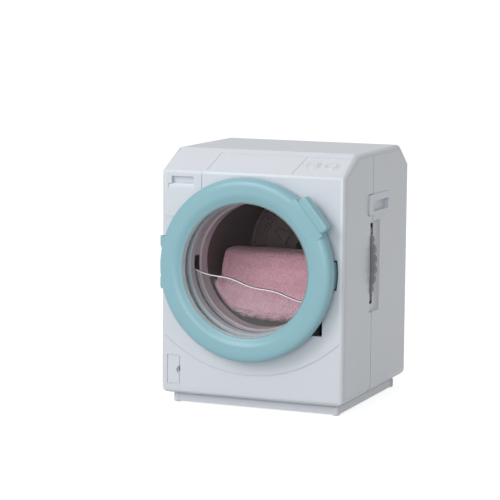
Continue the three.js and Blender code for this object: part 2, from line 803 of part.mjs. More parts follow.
function makeFrontShell() {
  const blank = box(-halfWidth - overrun, halfWidth + overrun, front - overrun, seam - seamGap / 2,
    0, totalHeight + overrun);
  const hollow = cut(casingForm, casingHollow).intersect(blank);
  const posts = screwPlaces.map(([x, z]) => rodY(postRadius, x, z, front + wall / 2,
    seam - seamGap).intersect(casingForm));
  const throat = tube(throatRadius, throatRadius + throatWall, front, throatEnd);
  const bore = rodY(throatRadius, 0, axisHeight, front - overrun, throatEnd + overrun, largeSides);
  const bosses = baseBosses().map((boss) => boss.intersect(blank));
  const pilots = screwPlaces.map(([x, z]) => rodY(pilotRadius, x, z, seam - screwReach - screwGap, back,
    screwSides));
  const laps = sides.map((side) => gripBlock(side, fitGap / 2, gripLap));
  return cut(join(hollow, posts, throat, hooks, hingeBoss(), bosses), bore, wheelSlot, windows, laps,
    drawerCuts(), flapCuts(), arcGrooveCut(), panelCuts(), latchHole(), hingeCuts(), pilots,
    baseBossBores(), sides.map(fingerRecess)).add(join(panelButtons()));
}

// Rear shell

const hubPostRadius = 4.4;
const hubSpigotRadius = 2.2;
const hubWall = 1.3;
const backPlateThickness = 1.2;
const backPlateSetback = 1.5;
const hubLength = 3.3;
const hubScrewReach = 4;
const washerRadius = 3.4;
const washerThickness = 0.5;

const drumMouth = front + drumMouthSetback;
const drumEnd = drumMouth + drumLength;
const backPlateFront = drumEnd - backPlateSetback;
const hubEnd = backPlateFront + backPlateThickness + hubLength;
const spigotTip = backPlateFront;

function makeRearShell() {
  const blank = box(-halfWidth - overrun, halfWidth + overrun, seam + seamGap / 2, back + overrun,
    0, totalHeight + overrun);
  const hollow = cut(casingForm, casingHollow).intersect(blank);
  const tubes = screwPlaces.map(([x, z]) => rodY(wellRadius + bossWall, x, z, seam + seamGap / 2,
    back - wall / 2).intersect(casingForm));
  const wells = screwPlaces.flatMap(([x, z]) => [
    rodY(wellRadius, x, z, screwSeat, back + overrun),
    rodY(pilotRadius, x, z, seam - overrun, screwSeat + overrun, screwSides),
  ]);
  const post = rodY(hubPostRadius, 0, axisHeight, hubEnd + fitGap, back - wall / 2);
  const spigot = rodY(hubSpigotRadius, 0, axisHeight, spigotTip, back - wall / 2, 2 * smallSides);
  const pilot = rodY(pilotRadius, 0, axisHeight, spigotTip - overrun, spigotTip + hubScrewReach + screwGap,
    screwSides);
  const bosses = baseBosses().map((boss) => boss.intersect(blank));
  const grips = sides.map((side) => gripBlock(side, 0, gripLap - fitGap / 2));
  return cut(join(hollow, tubes, post, spigot, bosses, grips), wells, pilot, wheelSlot,
    baseBossBores(), sides.map(fingerRecess), sides.map(gripPocket));
}

// Drum, its back plate, hub washer, hub screw and thumbwheel

const drumInner = spigotOuter + fitGap;
const padCount = 6;
const padInner = 5.5;
const padOuter = 10.7;
const padHeight = 0.4;
const padShare = 0.62;

function drumRadiusAt(y) {
  return drumInner - (drumTaper * (y - drumMouth)) / drumLength;
}

function makeDrumTub() {
  const ribFront = seam + fitGap;
  const outer = (y) => drumRadiusAt(y) + drumWall;
  return turned([
    [drumInner, drumMouth], [drumRadiusAt(drumEnd), drumEnd],
    [drumRadiusAt(drumEnd) - drumLipWidth, drumEnd],
    [drumRadiusAt(drumEnd) - drumLipWidth, drumEnd + drumWall],
    [outer(drumEnd), drumEnd + drumWall],
    [outer(ribFront + drumRibWidth), ribFront + drumRibWidth],
    [outer(ribFront) + drumRibHeight, ribFront + drumRibWidth],
    [outer(ribFront) + drumRibHeight, ribFront],
    [outer(ribFront), ribFront], [drumInner + drumWall, drumMouth],
  ]);
}

function makeDrumBackPlate() {
  const radius = drumRadiusAt(drumEnd) - fitGap;
  const rear = backPlateFront + backPlateThickness;
  const bore = hubSpigotRadius + runningGap;
  const plate = turned([
    [bore, backPlateFront], [radius, backPlateFront], [radius, rear],
    [bore + hubWall, rear], [bore + hubWall, hubEnd], [bore, hubEnd],
  ], 2 * smallSides);
  const pads = [];
  for (let i = 0; i < padCount; i++) {
    const middle = (2 * Math.PI * (i + 1 / 2)) / padCount;
    const half = (Math.PI / padCount) * padShare;
    pads.push(arcBand(padInner, padOuter, middle - half, middle + half,
      backPlateFront - padHeight, backPlateFront + backPlateThickness / 2));
  }
  return join(plate, pads);
}

function makeHubWasher() {
  return tube(pilotRadius, washerRadius, spigotTip - screwGap - washerThickness, spigotTip - screwGap, smallSides);
}

function makeHubScrew() {
  const seat = spigotTip - 2 * screwGap - washerThickness;
  return join(
    rodY(screwHead, 0, axisHeight, seat - screwHeadHeight, seat, screwSides),
    rodY(screwShank, 0, axisHeight, seat - screwHeadHeight / 2, spigotTip + hubScrewReach, screwSides));
}

function makeThumbwheel() {
  const stepsPerScallop = 4;
  const total = scallopCount * stepsPerScallop;
  const outline = [];
  for (let i = 0; i < total; i++) {
    const angle = (2 * Math.PI * i) / total;
    const radius = wheelRadius - scallopDepth * Math.abs(Math.sin((angle * scallopCount) / 2));
    outline.push(new THREE.Vector2(radius * Math.cos(angle), axisHeight + radius * Math.sin(angle)));
  }
  const disc = prismY(new THREE.Shape(outline), wheelFront, seam);
  const bore = rodY(drumRadiusAt(wheelFront) + drumWall + fitGap / 2, 0, axisHeight,
    wheelFront - overrun, seam + overrun, largeSides);
  return cut(disc, bore);
}

// Towel: a folded roll over a lower layer

function makeTowel() {
  const clearance = 0.4;
  const left = 14.6;
  const right = 15.8;
  const top = 1.2;
  const rollLow = 9;
  const rollFront = 12.2;
  const rollBack = 9;
  const rollRadius = 5.5;
  const layerTop = 6.4;
  const layerLow = 17;
  const layerFront = 14;
  const layerBack = 12;
  const layerRadius = 3;
  const layerUnderRadius = 5;
  const steps = 6;
  const roll = roundedOutline([
    [-rollFront, axisHeight - rollLow, layerRadius], [-rollFront, axisHeight + top, rollRadius],
    [rollBack, axisHeight + top, rollRadius], [rollBack, axisHeight - rollLow, layerRadius],
  ], steps);
  const layer = roundedOutline([
    [-layerFront, axisHeight - layerLow, layerUnderRadius], [-layerFront, axisHeight - layerTop, layerRadius],
    [layerBack, axisHeight - layerTop, layerRadius], [layerBack, axisHeight - layerLow, layerRadius],
  ], steps);
  const drumSpace = rodY(drumRadiusAt(drumEnd) - clearance, 0, axisHeight, drumMouth, drumEnd, largeSides);
  return join(prismX(roll, -left, right), prismX(layer, -left, right)).intersect(drumSpace);
}

// The finished group

const part = new THREE.Group();

function addMesh(name, piece, colour, roughness, metalness = 0) {
  const { vertProperties, triVerts, numProp } = piece.getMesh();
  const geometry = new THREE.BufferGeometry();
  const positions = new THREE.InterleavedBuffer(vertProperties, numProp);
  geometry.setAttribute("position", new THREE.InterleavedBufferAttribute(positions, 3, 0));
  geometry.setIndex(new THREE.BufferAttribute(triVerts, 1));
  geometry.computeVertexNormals();
  const mesh = new THREE.Mesh(geometry, new THREE.MeshStandardMaterial({ color: colour, roughness, metalness }));
  mesh.name = name;
  part.add(mesh);
  return mesh;
}

addMesh("front_shell", makeFrontShell(), colours.shell, 0.4);
addMesh("rear_shell", makeRearShell(), colours.shell, 0.4);
addMesh("base_tray", makeBaseTray(), colours.shell, 0.4);
addMesh("tub_collar", makeTubCollar(), colours.shell, 0.4);
addMesh("wave_screen", makeWaveScreen(), colours.clear, 0.1);
addMesh("door_ring", makeDoorRing(), colours.teal, 0.35);
addMesh("door_back_ring", makeDoorBackRing(), colours.teal, 0.35);
addMesh("door_window", makeDoorWindow(), colours.clear, 0.1);
addMesh("hinge_pin", makeHingePin(), colours.steel, 0.3, 1);
addMesh("drum_tub", makeDrumTub(), colours.drum, 0.5);
addMesh("drum_back_plate", makeDrumBackPlate(), colours.drum, 0.5);
addMesh("thumbwheel", makeThumbwheel(), colours.wheel, 0.45);
addMesh("hub_washer", makeHubWasher(), colours.steel, 0.3, 1);
addMesh("hub_screw", makeHubScrew(), colours.steel, 0.3, 1);
addMesh("towel", makeTowel(), colours.towel, 0.95);
screwPlaces.forEach(([x, z], index) => {
  addMesh(`body_screw_${index + 1}`, makeScrewY(x, z, screwSeat), colours.steel, 0.3, 1);
});
baseScrewPlaces.forEach((y, index) => {
  addMesh(`base_screw_${index + 1}`, makeBaseScrew(y), colours.steel, 0.3, 1);
});

// The origin lies on the floor, midway between the front of the handle and the back.
const frontmost = front - doorCrown - handleRise;
part.position.y = -(frontmost + back) / 2;

export default part;
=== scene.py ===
# Looks of a toy washing machine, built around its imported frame.
# Lengths are in metres. X points right, Y to the back and Z up, with the floor at Z = 0.

import json
import math

import bpy
from mathutils import Matrix, Vector, noise


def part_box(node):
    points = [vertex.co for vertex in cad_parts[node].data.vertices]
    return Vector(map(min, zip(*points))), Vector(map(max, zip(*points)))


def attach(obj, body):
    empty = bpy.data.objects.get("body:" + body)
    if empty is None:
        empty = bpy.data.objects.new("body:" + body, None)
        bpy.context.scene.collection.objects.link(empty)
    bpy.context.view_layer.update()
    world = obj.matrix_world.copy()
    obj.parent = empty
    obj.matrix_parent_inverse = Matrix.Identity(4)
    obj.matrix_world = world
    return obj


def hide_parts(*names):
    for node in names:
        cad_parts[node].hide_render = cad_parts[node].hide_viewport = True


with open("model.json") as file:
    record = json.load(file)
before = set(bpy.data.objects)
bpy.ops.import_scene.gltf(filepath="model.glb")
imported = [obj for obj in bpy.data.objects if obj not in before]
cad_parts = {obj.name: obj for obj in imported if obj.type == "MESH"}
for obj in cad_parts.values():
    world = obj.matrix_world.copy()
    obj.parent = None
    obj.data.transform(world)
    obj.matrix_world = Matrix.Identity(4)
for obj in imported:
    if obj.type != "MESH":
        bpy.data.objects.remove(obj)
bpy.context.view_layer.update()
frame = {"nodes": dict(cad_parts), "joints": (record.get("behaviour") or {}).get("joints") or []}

bl_info = {
    "name": "Toy washing machine",
    "version": (1, 0, 0),
    "blender": (4, 5, 0),
    "location": "View3D > Sidebar > Washer",
    "description": "Dresses the packed frame of a toy washing machine",
    "category": "Add Mesh",
}

MM = 0.001
WELD = 0.001 * MM


def joint(name):
    """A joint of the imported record."""
    return next(j for j in frame["joints"] if j["name"] == name)


# Places that come from the frame

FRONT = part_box("front_shell")[0].y
HALF_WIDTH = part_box("front_shell")[1].x
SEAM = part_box("thumbwheel")[1].y
AXIS = Vector((0, 0, joint("drum_spin")["pos_m"][2]))
HINGE = Vector(joint("door_hinge")["pos_m"])
RING_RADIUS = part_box("door_ring")[1].x
DRUM_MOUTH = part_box("drum_tub")[0].y
DRUM_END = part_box("drum_tub")[1].y

# Places on the casing that no box of the frame gives

NOTCH = (5.9 * MM - HALF_WIDTH, 9.685 * MM)  # finger notch of the service flap, in X and Z
TRAY_BOTTOM = 0.3 * MM  # underside of the base tray's walls
SLOT_HALF = 11.2 * MM  # half the height of the thumbwheel's slots
SLOT_END = SEAM + 2.6 * MM  # rear edge of these slots
CASE_MIDDLE = 3.425 * MM  # depth of the casing's middle, behind the frame's origin
CREASE = 64.73 * MM  # height of the bend between the front and the control panel
PANEL_DROP, PANEL_DEPTH = 5.27, 10.83  # the slanted panel's height and depth, in millimetres
PANEL_SLOPE = math.atan2(PANEL_DROP, PANEL_DEPTH)
PANEL_MIDDLE = 0.475 * math.hypot(PANEL_DROP, PANEL_DEPTH) * MM  # the buttons' place up the panel
POCKET_LEFT = 3.1 * MM - HALF_WIDTH  # left end of the drawer's pocket
BUTTONS = [HALF_WIDTH - 11.28 * MM, HALF_WIDTH - 5.94 * MM]  # the buttons' places along X
KNUCKLES = [HINGE.z - 5.65 * MM, HINGE.z + 5.65 * MM]  # heights of the hinge knuckles


# Sizes and colours that a user can change


def linear(hex_colour):
    """An sRGB hex colour as the linear values that Blender works in."""
    channels = [int(hex_colour[i:i + 2], 16) / 255 for i in (1, 3, 5)]
    return tuple(c / 12.92 if c <= 0.04045 else ((c + 0.055) / 1.055) ** 2.4 for c in channels)


def length(name, description, default):
    """A length property, in metres."""
    return bpy.props.FloatProperty(
        name=name, description=description, default=default, min=0, unit="LENGTH", precision=5)


def angle(name, description, degrees):
    """An angle property, given in degrees."""
    return bpy.props.FloatProperty(
        name=name, description=description, default=math.radians(degrees), subtype="ANGLE")


def colour(name, description, hex_colour):
    """A colour property, given as sRGB hex."""
    return bpy.props.FloatVectorProperty(
        name=name, description=description, default=linear(hex_colour),
        size=3, min=0, max=1, subtype="COLOR")


class WASHER_PG_sizes(bpy.types.PropertyGroup):
    """Sizes of the pieces that are modelled here."""
    lip_radius: length("Lip radius", "Inner radius of the door ring's lip", 18.25 * MM)
    lip_height: length("Lip height", "How far the door ring's lip stands in front of the casing", 5 * MM)
    crown_height: length("Crown height", "How far its crown stands in front of the casing", 5.95 * MM)
    widest_height: length("Widest height", "Distance of the ring's widest line from the casing", 3.4 * MM)
    stand_off: length("Stand-off", "Gap between the closed ring and the casing", 0.8 * MM)
    skin: length("Skin", "Wall of the moulded ring", 1.2 * MM)
    handle_length: length("Handle length", "Length of the door handle", 10.8 * MM)
    handle_width: length("Handle width", "Width of the door handle", 2.8 * MM)
    handle_rise: length("Handle rise", "How far the handle stands above the crown", 0.9 * MM)
    handle_reach: length("Handle reach", "How far the handle reaches past the ring", 2.2 * MM)
    handle_angle: angle("Handle angle", "Place of the handle around the ring", 39)
    throat: length("Throat radius", "Radius of the door opening", 17.8 * MM)
    tunnel: length("Tunnel radius", "Inner radius of the collar's rear part", 17.25 * MM)
    wave_height: length("Wave height", "Height of the waves of the clear plate's top edge", 0.3 * MM)
    wave_tilt: angle("Wave tilt", "How far the clear plate is rocked to the right", 12)
    drum_inner: length("Drum radius", "Inner radius of the drum at its mouth", 18.5 * MM)
    drum_taper: length("Drum taper", "How much narrower the drum is at its rear wall", 0.9 * MM)
    nub: length("Nub radius", "Radius of the small nubs on the drum's rear wall", 0.42 * MM)
    scallop_depth: length("Scallop depth", "Depth of the scallops of the thumbwheel", 0.56 * MM)
    towel_thickness: length("Towel thickness", "Thickness of the terry cloth", 1.5 * MM)
    pile: length("Pile height", "Height of the terry loops that the cloth's surface shows", 0.14 * MM)


class WASHER_PG_colours(bpy.types.PropertyGroup):
    """Colours of the finishes."""
    shell: colour("Casing", "White of the casing", "#DCE1E8")
    # Painted shade and painted pink glow: the collar is the casing's white plastic, darkened and tinted
    # pink for the shade and the towel's light that fall on it.
    collar: colour("Collar", "Warm white of the collar behind the opening", "#D3C8CE")
    teal: colour("Door", "Light teal of the door ring", "#90BEC9")
    drum: colour("Drum", "Dark brown-grey of the drum", "#786265")
    wheel: colour("Wheel", "Grey of the thumbwheel", "#8B898B")
    clear: colour("Clear plastic", "Tint of the window and the wave plate", "#FBFCFC")
    steel: colour("Steel", "Colour of the screws and the hinge pin", "#C2C4C6")
    black: colour("Black steel", "Colour of the screw and washer in the drum", "#3E3A3B")
    towel: colour("Towel", "Pink of the towel's loops", "#FBC3D2")
    # Painted shade: the darker pink stands for the shade that falls between the towel's loops.
    towel_painted_gap_shade: colour("Towel shade", "Darker pink between the loops", "#C58B9D")


class WASHER_PG_stage(bpy.types.PropertyGroup):
    """Camera, floor and light."""
    lens: bpy.props.FloatProperty(name="Lens", description="Focal length in millimetres", default=158.98)
    distance: length("Distance", "Camera's distance from its target", 621.507 * MM)
    azimuth: angle("Azimuth", "Camera's turn to the right of the front", 22.344)
    elevation: angle("Elevation", "Camera's height over the horizon", 7.604)
    roll: angle("Roll", "Camera's roll", 0.512)
    ambient: bpy.props.FloatProperty(name="Ambient", description="Level of the even light", default=0.49)


# Modelling steps


def deselect():
    """Leaves edit mode and clears the selection."""
    if bpy.context.mode != "OBJECT":
        bpy.ops.object.mode_set(mode="OBJECT")
    bpy.ops.object.select_all(action="DESELECT")


def select_only(piece):
    """Makes a piece the only selected and active one."""
    deselect()
    piece.select_set(True)
    bpy.context.view_layer.objects.active = piece


def add_object(name, data):
    """Adds an object with its data to the scene."""
    thing = bpy.data.objects.new(name, data)
    bpy.context.scene.collection.objects.link(thing)
    return thing


def apply_place():
    """Puts the selected object's place, turn and scale into its mesh."""
    bpy.ops.object.transform_apply(location=True, rotation=True, scale=True)


def name_piece(piece, name):
    """Names an object and its mesh."""
    piece.name = name
    piece.data.name = name
    return piece


def extrude(along):
    """Extrudes the selection along a vector."""
    bpy.ops.mesh.extrude_region_move(TRANSFORM_OT_translate={"value": along})


def draw_line(name, points):
    """Draws a line of edges in edit mode, by extruding one vertex from point to point."""
    deselect()
    bpy.ops.mesh.primitive_plane_add(size=MM)
    piece = name_piece(bpy.context.object, name)
    bpy.ops.object.mode_set(mode="EDIT")
    bpy.ops.mesh.select_all(action="SELECT")
    bpy.ops.mesh.merge(type="CENTER")
    bpy.ops.transform.translate(value=points[0])
    for before, after in zip(points, points[1:]):
        extrude(Vector(after) - Vector(before))
    bpy.ops.mesh.select_all(action="SELECT")
    return piece


def draw_section(name, points):
    """Draws a closed outline in edit mode."""
    piece = draw_line(name, [*points, points[0]])
    bpy.ops.mesh.remove_doubles(threshold=WELD)
    return piece


def tidy_faces():
    """Welds what meets, drops loose edges, turns the faces outwards and leaves edit mode."""
    bpy.ops.mesh.select_all(action="SELECT")
    bpy.ops.mesh.remove_doubles(threshold=WELD)
    bpy.ops.mesh.delete_loose()
    bpy.ops.mesh.select_all(action="SELECT")
    bpy.ops.mesh.normals_make_consistent(inside=False)
    bpy.ops.object.mode_set(mode="OBJECT")


def turn_section(name, section, steps):
    """Turns a closed section of (radius, y) about the drum's axis."""
    piece = draw_section(name, [(radius, y, AXIS.z) for radius, y in section])
    bpy.ops.mesh.spin(steps=steps, angle=2 * math.pi, center=AXIS, axis=(0, 1, 0))
    tidy_faces()
    return piece


def extrude_outline(name, outline, along):
    """Fills a closed outline and extrudes it along a vector."""
    piece = draw_section(name, outline)
    bpy.ops.mesh.edge_face_add()
    extrude(along)
    tidy_faces()
    return piece


def add_block(name, low, high):
    """A block between two corners."""
    deselect()
    low, high = Vector(low), Vector(high)
    bpy.ops.mesh.primitive_cube_add(size=1, location=(low + high) / 2, scale=high - low)
    apply_place()
    return name_piece(bpy.context.object, name)


def add_rod(name, radius, start, end, sides=48):
    """A rod between two points that lie along Y or along Z."""
    deselect()
    start, end = Vector(start), Vector(end)
    span = end - start
    turn = (math.pi / 2, 0, 0) if abs(span.y) > abs(span.z) else (0, 0, 0)
    bpy.ops.mesh.primitive_cylinder_add(
        vertices=sides, radius=radius, depth=span.length, location=(start + end) / 2, rotation=turn)
    apply_place()
    return name_piece(bpy.context.object, name)


def modify(piece, kind, **settings):
    """Adds a modifier, sets it and applies it."""
    select_only(piece)
    modifier = piece.modifiers.new(kind, kind)
    for setting, value in settings.items():
        setattr(modifier, setting, value)
    bpy.ops.object.modifier_apply(modifier=modifier.name)
    return piece


def combine(piece, operation, *tools, solver="EXACT"):
    """Joins pieces to one or cuts them from it, and removes them."""
    for tool in tools:
        modify(piece, "BOOLEAN", operation=operation, object=tool, solver=solver)
        bpy.data.objects.remove(tool)
    return piece


def add(piece, *tools):
    """Joins pieces to one."""
    return combine(piece, "UNION", *tools)


def cut(piece, *tools):
    """Cuts pieces from one."""
    return combine(piece, "DIFFERENCE", *tools)


def turn_about_axis(piece, turn):
    """Turns a piece about the drum's axis, from right towards up."""
    piece.matrix_world = (
        Matrix.Translation(AXIS) @ Matrix.Rotation(-turn, 4, "Y") @ Matrix.Translation(-AXIS)
        @ piece.matrix_world)
    select_only(piece)
    apply_place()
    return piece


def round_edges(piece, width, segments=3, limit=30):
    """Rounds the edges that are sharper than a limit in degrees."""
    return modify(piece, "BEVEL", width=width, segments=segments, limit_method="ANGLE",
                  angle_limit=math.radians(limit), use_clamp_overlap=True)


def copy_of_node(name, node):
    """A welded copy of a CAD node's mesh, with its flat faces made whole."""
    piece = name_piece(add_object(name, frame["nodes"][node].data.copy()), name)
    select_only(piece)
    bpy.ops.object.mode_set(mode="EDIT")
    bpy.ops.mesh.select_all(action="SELECT")
    bpy.ops.mesh.customdata_custom_splitnormals_clear()
    bpy.ops.mesh.remove_doubles(threshold=WELD)
    bpy.ops.mesh.dissolve_limited(angle_limit=math.radians(0.2))
    bpy.ops.object.mode_set(mode="OBJECT")
    return piece


def dress(piece, finish, body, slot, *nodes, smooth=40):
    """Gives a finished piece its material and the body that it rides on, and hides the nodes that it stands
    for.
    """
    select_only(piece)
    apply_place()
    bpy.ops.object.shade_smooth_by_angle(angle=math.radians(smooth))
    piece.data.materials.clear()
    piece.data.materials.append(finish)
    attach(piece, body)
    if nodes:
        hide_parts(*nodes)
    return piece


def arc_points(radius, start, end, steps, y=0):
    """Points on an arc about the drum's axis, by angle from right towards up."""
    angles = [start + (end - start) * i / steps for i in range(steps + 1)]
    return [(radius * math.cos(a), y, AXIS.z + radius * math.sin(a)) for a in angles]


def arc_band(name, inner, outer, start, end, y0, y1, steps=24):
    """A segment of a ring about the drum's axis."""
    outline = arc_points(outer, start, end, steps, y0) + arc_points(inner, end, start, steps, y0)
    return extrude_outline(name, outline, (0, y1 - y0, 0))


# Materials

GRAIN = {"Detail": 2.0, "Roughness": 0.55}  # what every noise texture here shares


def add_node(tree, kind, inputs=None, **settings):
    """Adds a node, with its settings and with its inputs linked or set."""
    node = tree.nodes.new(kind)
    for setting, value in settings.items():
        setattr(node, setting, value)
    for socket, value in (inputs or {}).items():
        if isinstance(value, bpy.types.NodeSocket):
            tree.links.new(value, node.inputs[socket])
        else:
            node.inputs[socket].default_value = value
    return node


def add_material(name, surface, *settings, **extras):
    """A material whose nodes one of the functions below adds and returns the surface of."""
    material = bpy.data.materials.new(name)
    material.use_nodes = True
    tree = material.node_tree
    tree.nodes.clear()
    add_node(tree, "ShaderNodeOutputMaterial", {"Surface": surface(tree, *settings, **extras)})
    return material


def moulded_plastic(tree, shade, roughness, grain, relief, mottling=0.03, ior=1.54):
    """Injection-moulded plastic: an even, faintly cloudy colour, and the fine grain of an etched mould.

    The real grain is under 0.1 mm, too fine to show, so it is drawn at 0.35 to 0.4 mm.
    """
    place = add_node(tree, "ShaderNodeTexCoord").outputs["Object"]
    cloud = add_node(tree, "ShaderNodeTexNoise", {"Vector": place, "Scale": 1 / (9 * MM), **GRAIN})
    low = tuple(c * (1 - mottling) for c in shade)
    tint = add_node(tree, "ShaderNodeMix", {
        "Factor": cloud.outputs["Fac"], "A": (*low, 1), "B": (*shade, 1)}, data_type="RGBA")
    fine = add_node(tree, "ShaderNodeTexNoise", {"Vector": place, "Scale": 1 / grain, **GRAIN})
    sheen = add_node(tree, "ShaderNodeMapRange", {
        "Value": fine.outputs["Fac"], "To Min": roughness - 0.05, "To Max": roughness + 0.05})
    bump = add_node(tree, "ShaderNodeBump", {
        "Height": fine.outputs["Fac"], "Strength": 0.6, "Distance": relief})
    surface = add_node(tree, "ShaderNodeBsdfPrincipled", {
        "Base Color": tint.outputs[2], "Roughness": sheen.outputs["Result"], "IOR": ior,
        "Normal": bump.outputs["Normal"]})
    return surface.outputs["BSDF"]


def clear_polystyrene(tree, shade, haze):
    """Clear polystyrene: lets the light through, with a gloss that grows at grazing edges, and a haze."""
    place = add_node(tree, "ShaderNodeTexCoord").outputs["Object"]
    streaks = add_node(tree, "ShaderNodeTexNoise", {"Vector": place, "Scale": 1 / (2.5 * MM), **GRAIN})
    wear = add_node(tree, "ShaderNodeMapRange", {
        "Value": streaks.outputs["Fac"], "To Min": 0.04, "To Max": 0.12})
    gloss = add_node(tree, "ShaderNodeBsdfPrincipled", {
        "Base Color": (*shade, 1), "Roughness": wear.outputs["Result"], "IOR": 1.59})
    through = add_node(tree, "ShaderNodeBsdfTransparent", {"Color": (*shade, 1)})
    facing = add_node(tree, "ShaderNodeLayerWeight", {"Blend": 0.15})
    share = add_node(tree, "ShaderNodeMapRange", {
        "Value": facing.outputs["Fresnel"], "To Min": haze, "To Max": 0.9})
    surface = add_node(tree, "ShaderNodeMixShader", {
        0: share.outputs["Result"], 1: through.outputs["BSDF"], 2: gloss.outputs["BSDF"]})
    return surface.outputs["Shader"]


def refracting_polystyrene(tree, shade):
    """Clear moulded polystyrene that bends what is behind it, and lets the lamps shine through.

    Its rounded top edge has a painted highlight, an opaque pale white, on the front facet, and a painted
    shade, near black, on the facet above.
    """
    place = add_node(tree, "ShaderNodeTexCoord").outputs["Object"]
    streaks = add_node(tree, "ShaderNodeTexNoise", {"Vector": place, "Scale": 1 / (2 * MM), **GRAIN})
    wear = add_node(tree, "ShaderNodeMapRange", {
        "Value": streaks.outputs["Fac"], "To Min": 0.0, "To Max": 0.06})
    glass = add_node(tree, "ShaderNodeBsdfGlass", {
        "Color": (*shade, 1), "Roughness": wear.outputs["Result"], "IOR": 1.5})
    through = add_node(tree, "ShaderNodeBsdfTransparent", {"Color": (*shade, 1)})
    ray = add_node(tree, "ShaderNodeLightPath")
    passes = add_node(tree, "ShaderNodeMath", {
        0: ray.outputs["Is Shadow Ray"], 1: ray.outputs["Is Diffuse Ray"]}, operation="MAXIMUM")
    # Painted highlight: an opaque pale surface on the top edge's front facet, standing for the light that
    # leaves the clear edge.
    painted_edge_highlight = add_node(tree, "ShaderNodeBsdfPrincipled", {"Base Color": (*shade, 1), "Roughness": 0.3})
    facing = add_node(tree, "ShaderNodeNewGeometry")
    front_facet = (0, -0.924, 0.383)
    slope = add_node(tree, "ShaderNodeVectorMath", {
        0: facing.outputs["True Normal"], 1: front_facet}, operation="DOT_PRODUCT")
    painted_highlight_mask = add_node(tree, "ShaderNodeMapRange", {
        "Value": slope.outputs["Value"], "From Min": 0.935, "From Max": 0.96, "To Max": 0.85})
    body = add_node(tree, "ShaderNodeMixShader", {
        0: painted_highlight_mask.outputs["Result"], 1: glass.outputs["BSDF"], 2: painted_edge_highlight.outputs["BSDF"]})
    parts = add_node(tree, "ShaderNodeSeparateXYZ", {"Vector": facing.outputs["True Normal"]})
    painted_shade_mask = add_node(tree, "ShaderNodeMapRange", {
        "Value": parts.outputs["Z"], "From Min": 0.78, "From Max": 0.84, "To Max": 0.8})
    # Painted shade: near black on the upper facet of the plate's top edge.
    painted_edge_shade = add_node(tree, "ShaderNodeBsdfPrincipled", {
        "Base Color": (0.05, 0.045, 0.045, 1), "Roughness": 0.2})
    edged = add_node(tree, "ShaderNodeMixShader", {
        0: painted_shade_mask.outputs["Result"], 1: body.outputs["Shader"], 2: painted_edge_shade.outputs["BSDF"]})
    surface = add_node(tree, "ShaderNodeMixShader", {
        0: passes.outputs["Value"], 1: edged.outputs["Shader"], 2: through.outputs["BSDF"]})
    return surface.outputs["Shader"]


def turned_steel(tree, shade):
    """Plated or blackened steel, turned on a lathe: a metal whose fine turning marks vary its gloss.

    The real marks are too fine to show, so they are drawn at 0.25 mm.
    """
    place = add_node(tree, "ShaderNodeTexCoord").outputs["Object"]
    marks = add_node(tree, "ShaderNodeTexNoise", {"Vector": place, "Scale": 1 / (0.25 * MM), **GRAIN})
    sheen = add_node(tree, "ShaderNodeMapRange", {
        "Value": marks.outputs["Fac"], "To Min": 0.26, "To Max": 0.42})
    surface = add_node(tree, "ShaderNodeBsdfPrincipled", {
        "Base Color": (*shade, 1), "Metallic": 1.0, "Roughness": sheen.outputs["Result"]})
    return surface.outputs["BSDF"]


def terry_cloth(tree, loops, painted_gap_shade):
    """Terry cloth: rows of small loops that catch the light, with painted shade, a darker pink, between
    them.

    The real loops are about 0.4 mm apart, too fine to show, so they are drawn at 0.75 mm.
    """
    place = add_node(tree, "ShaderNodeTexCoord").outputs["Object"]
    slant = add_node(tree, "ShaderNodeMapping", {"Vector": place, "Rotation": (0.3, 0.55, 0)})
    loop_spacing = 0.75 * MM
    cells = add_node(tree, "ShaderNodeTexVoronoi", {
        "Vector": slant.outputs["Vector"], "Scale": 1 / loop_spacing, "Randomness": 0.45}, feature="F1")
    depth = add_node(tree, "ShaderNodeMapRange", {
        "Value": cells.outputs["Distance"], "From Max": 0.75, "To Min": 1.0, "To Max": 0.0})
    patches = add_node(tree, "ShaderNodeTexNoise", {"Vector": place, "Scale": 1 / (3 * MM), **GRAIN})
    # Painted shade: the colour turns to the darker pink between the loops, where the bump's cells lie low,
    # and varies in random patches.
    blend = add_node(tree, "ShaderNodeMath", {
        0: depth.outputs["Result"], 1: patches.outputs["Fac"], 2: 0.4}, operation="MULTIPLY_ADD")
    tint = add_node(tree, "ShaderNodeMix", {
        "Factor": blend.outputs["Value"], "A": (*painted_gap_shade, 1), "B": (*loops, 1)}, data_type="RGBA")
    bump = add_node(tree, "ShaderNodeBump", {
        "Height": depth.outputs["Result"], "Strength": 1.0, "Distance": 0.22 * MM})
    surface = add_node(tree, "ShaderNodeBsdfPrincipled", {
        "Base Color": tint.outputs[2], "Roughness": 0.95, "Specular IOR Level": 0.2,
        "Sheen Weight": 0.25, "Sheen Roughness": 0.5, "Normal": bump.outputs["Normal"]})
    return surface.outputs["BSDF"]


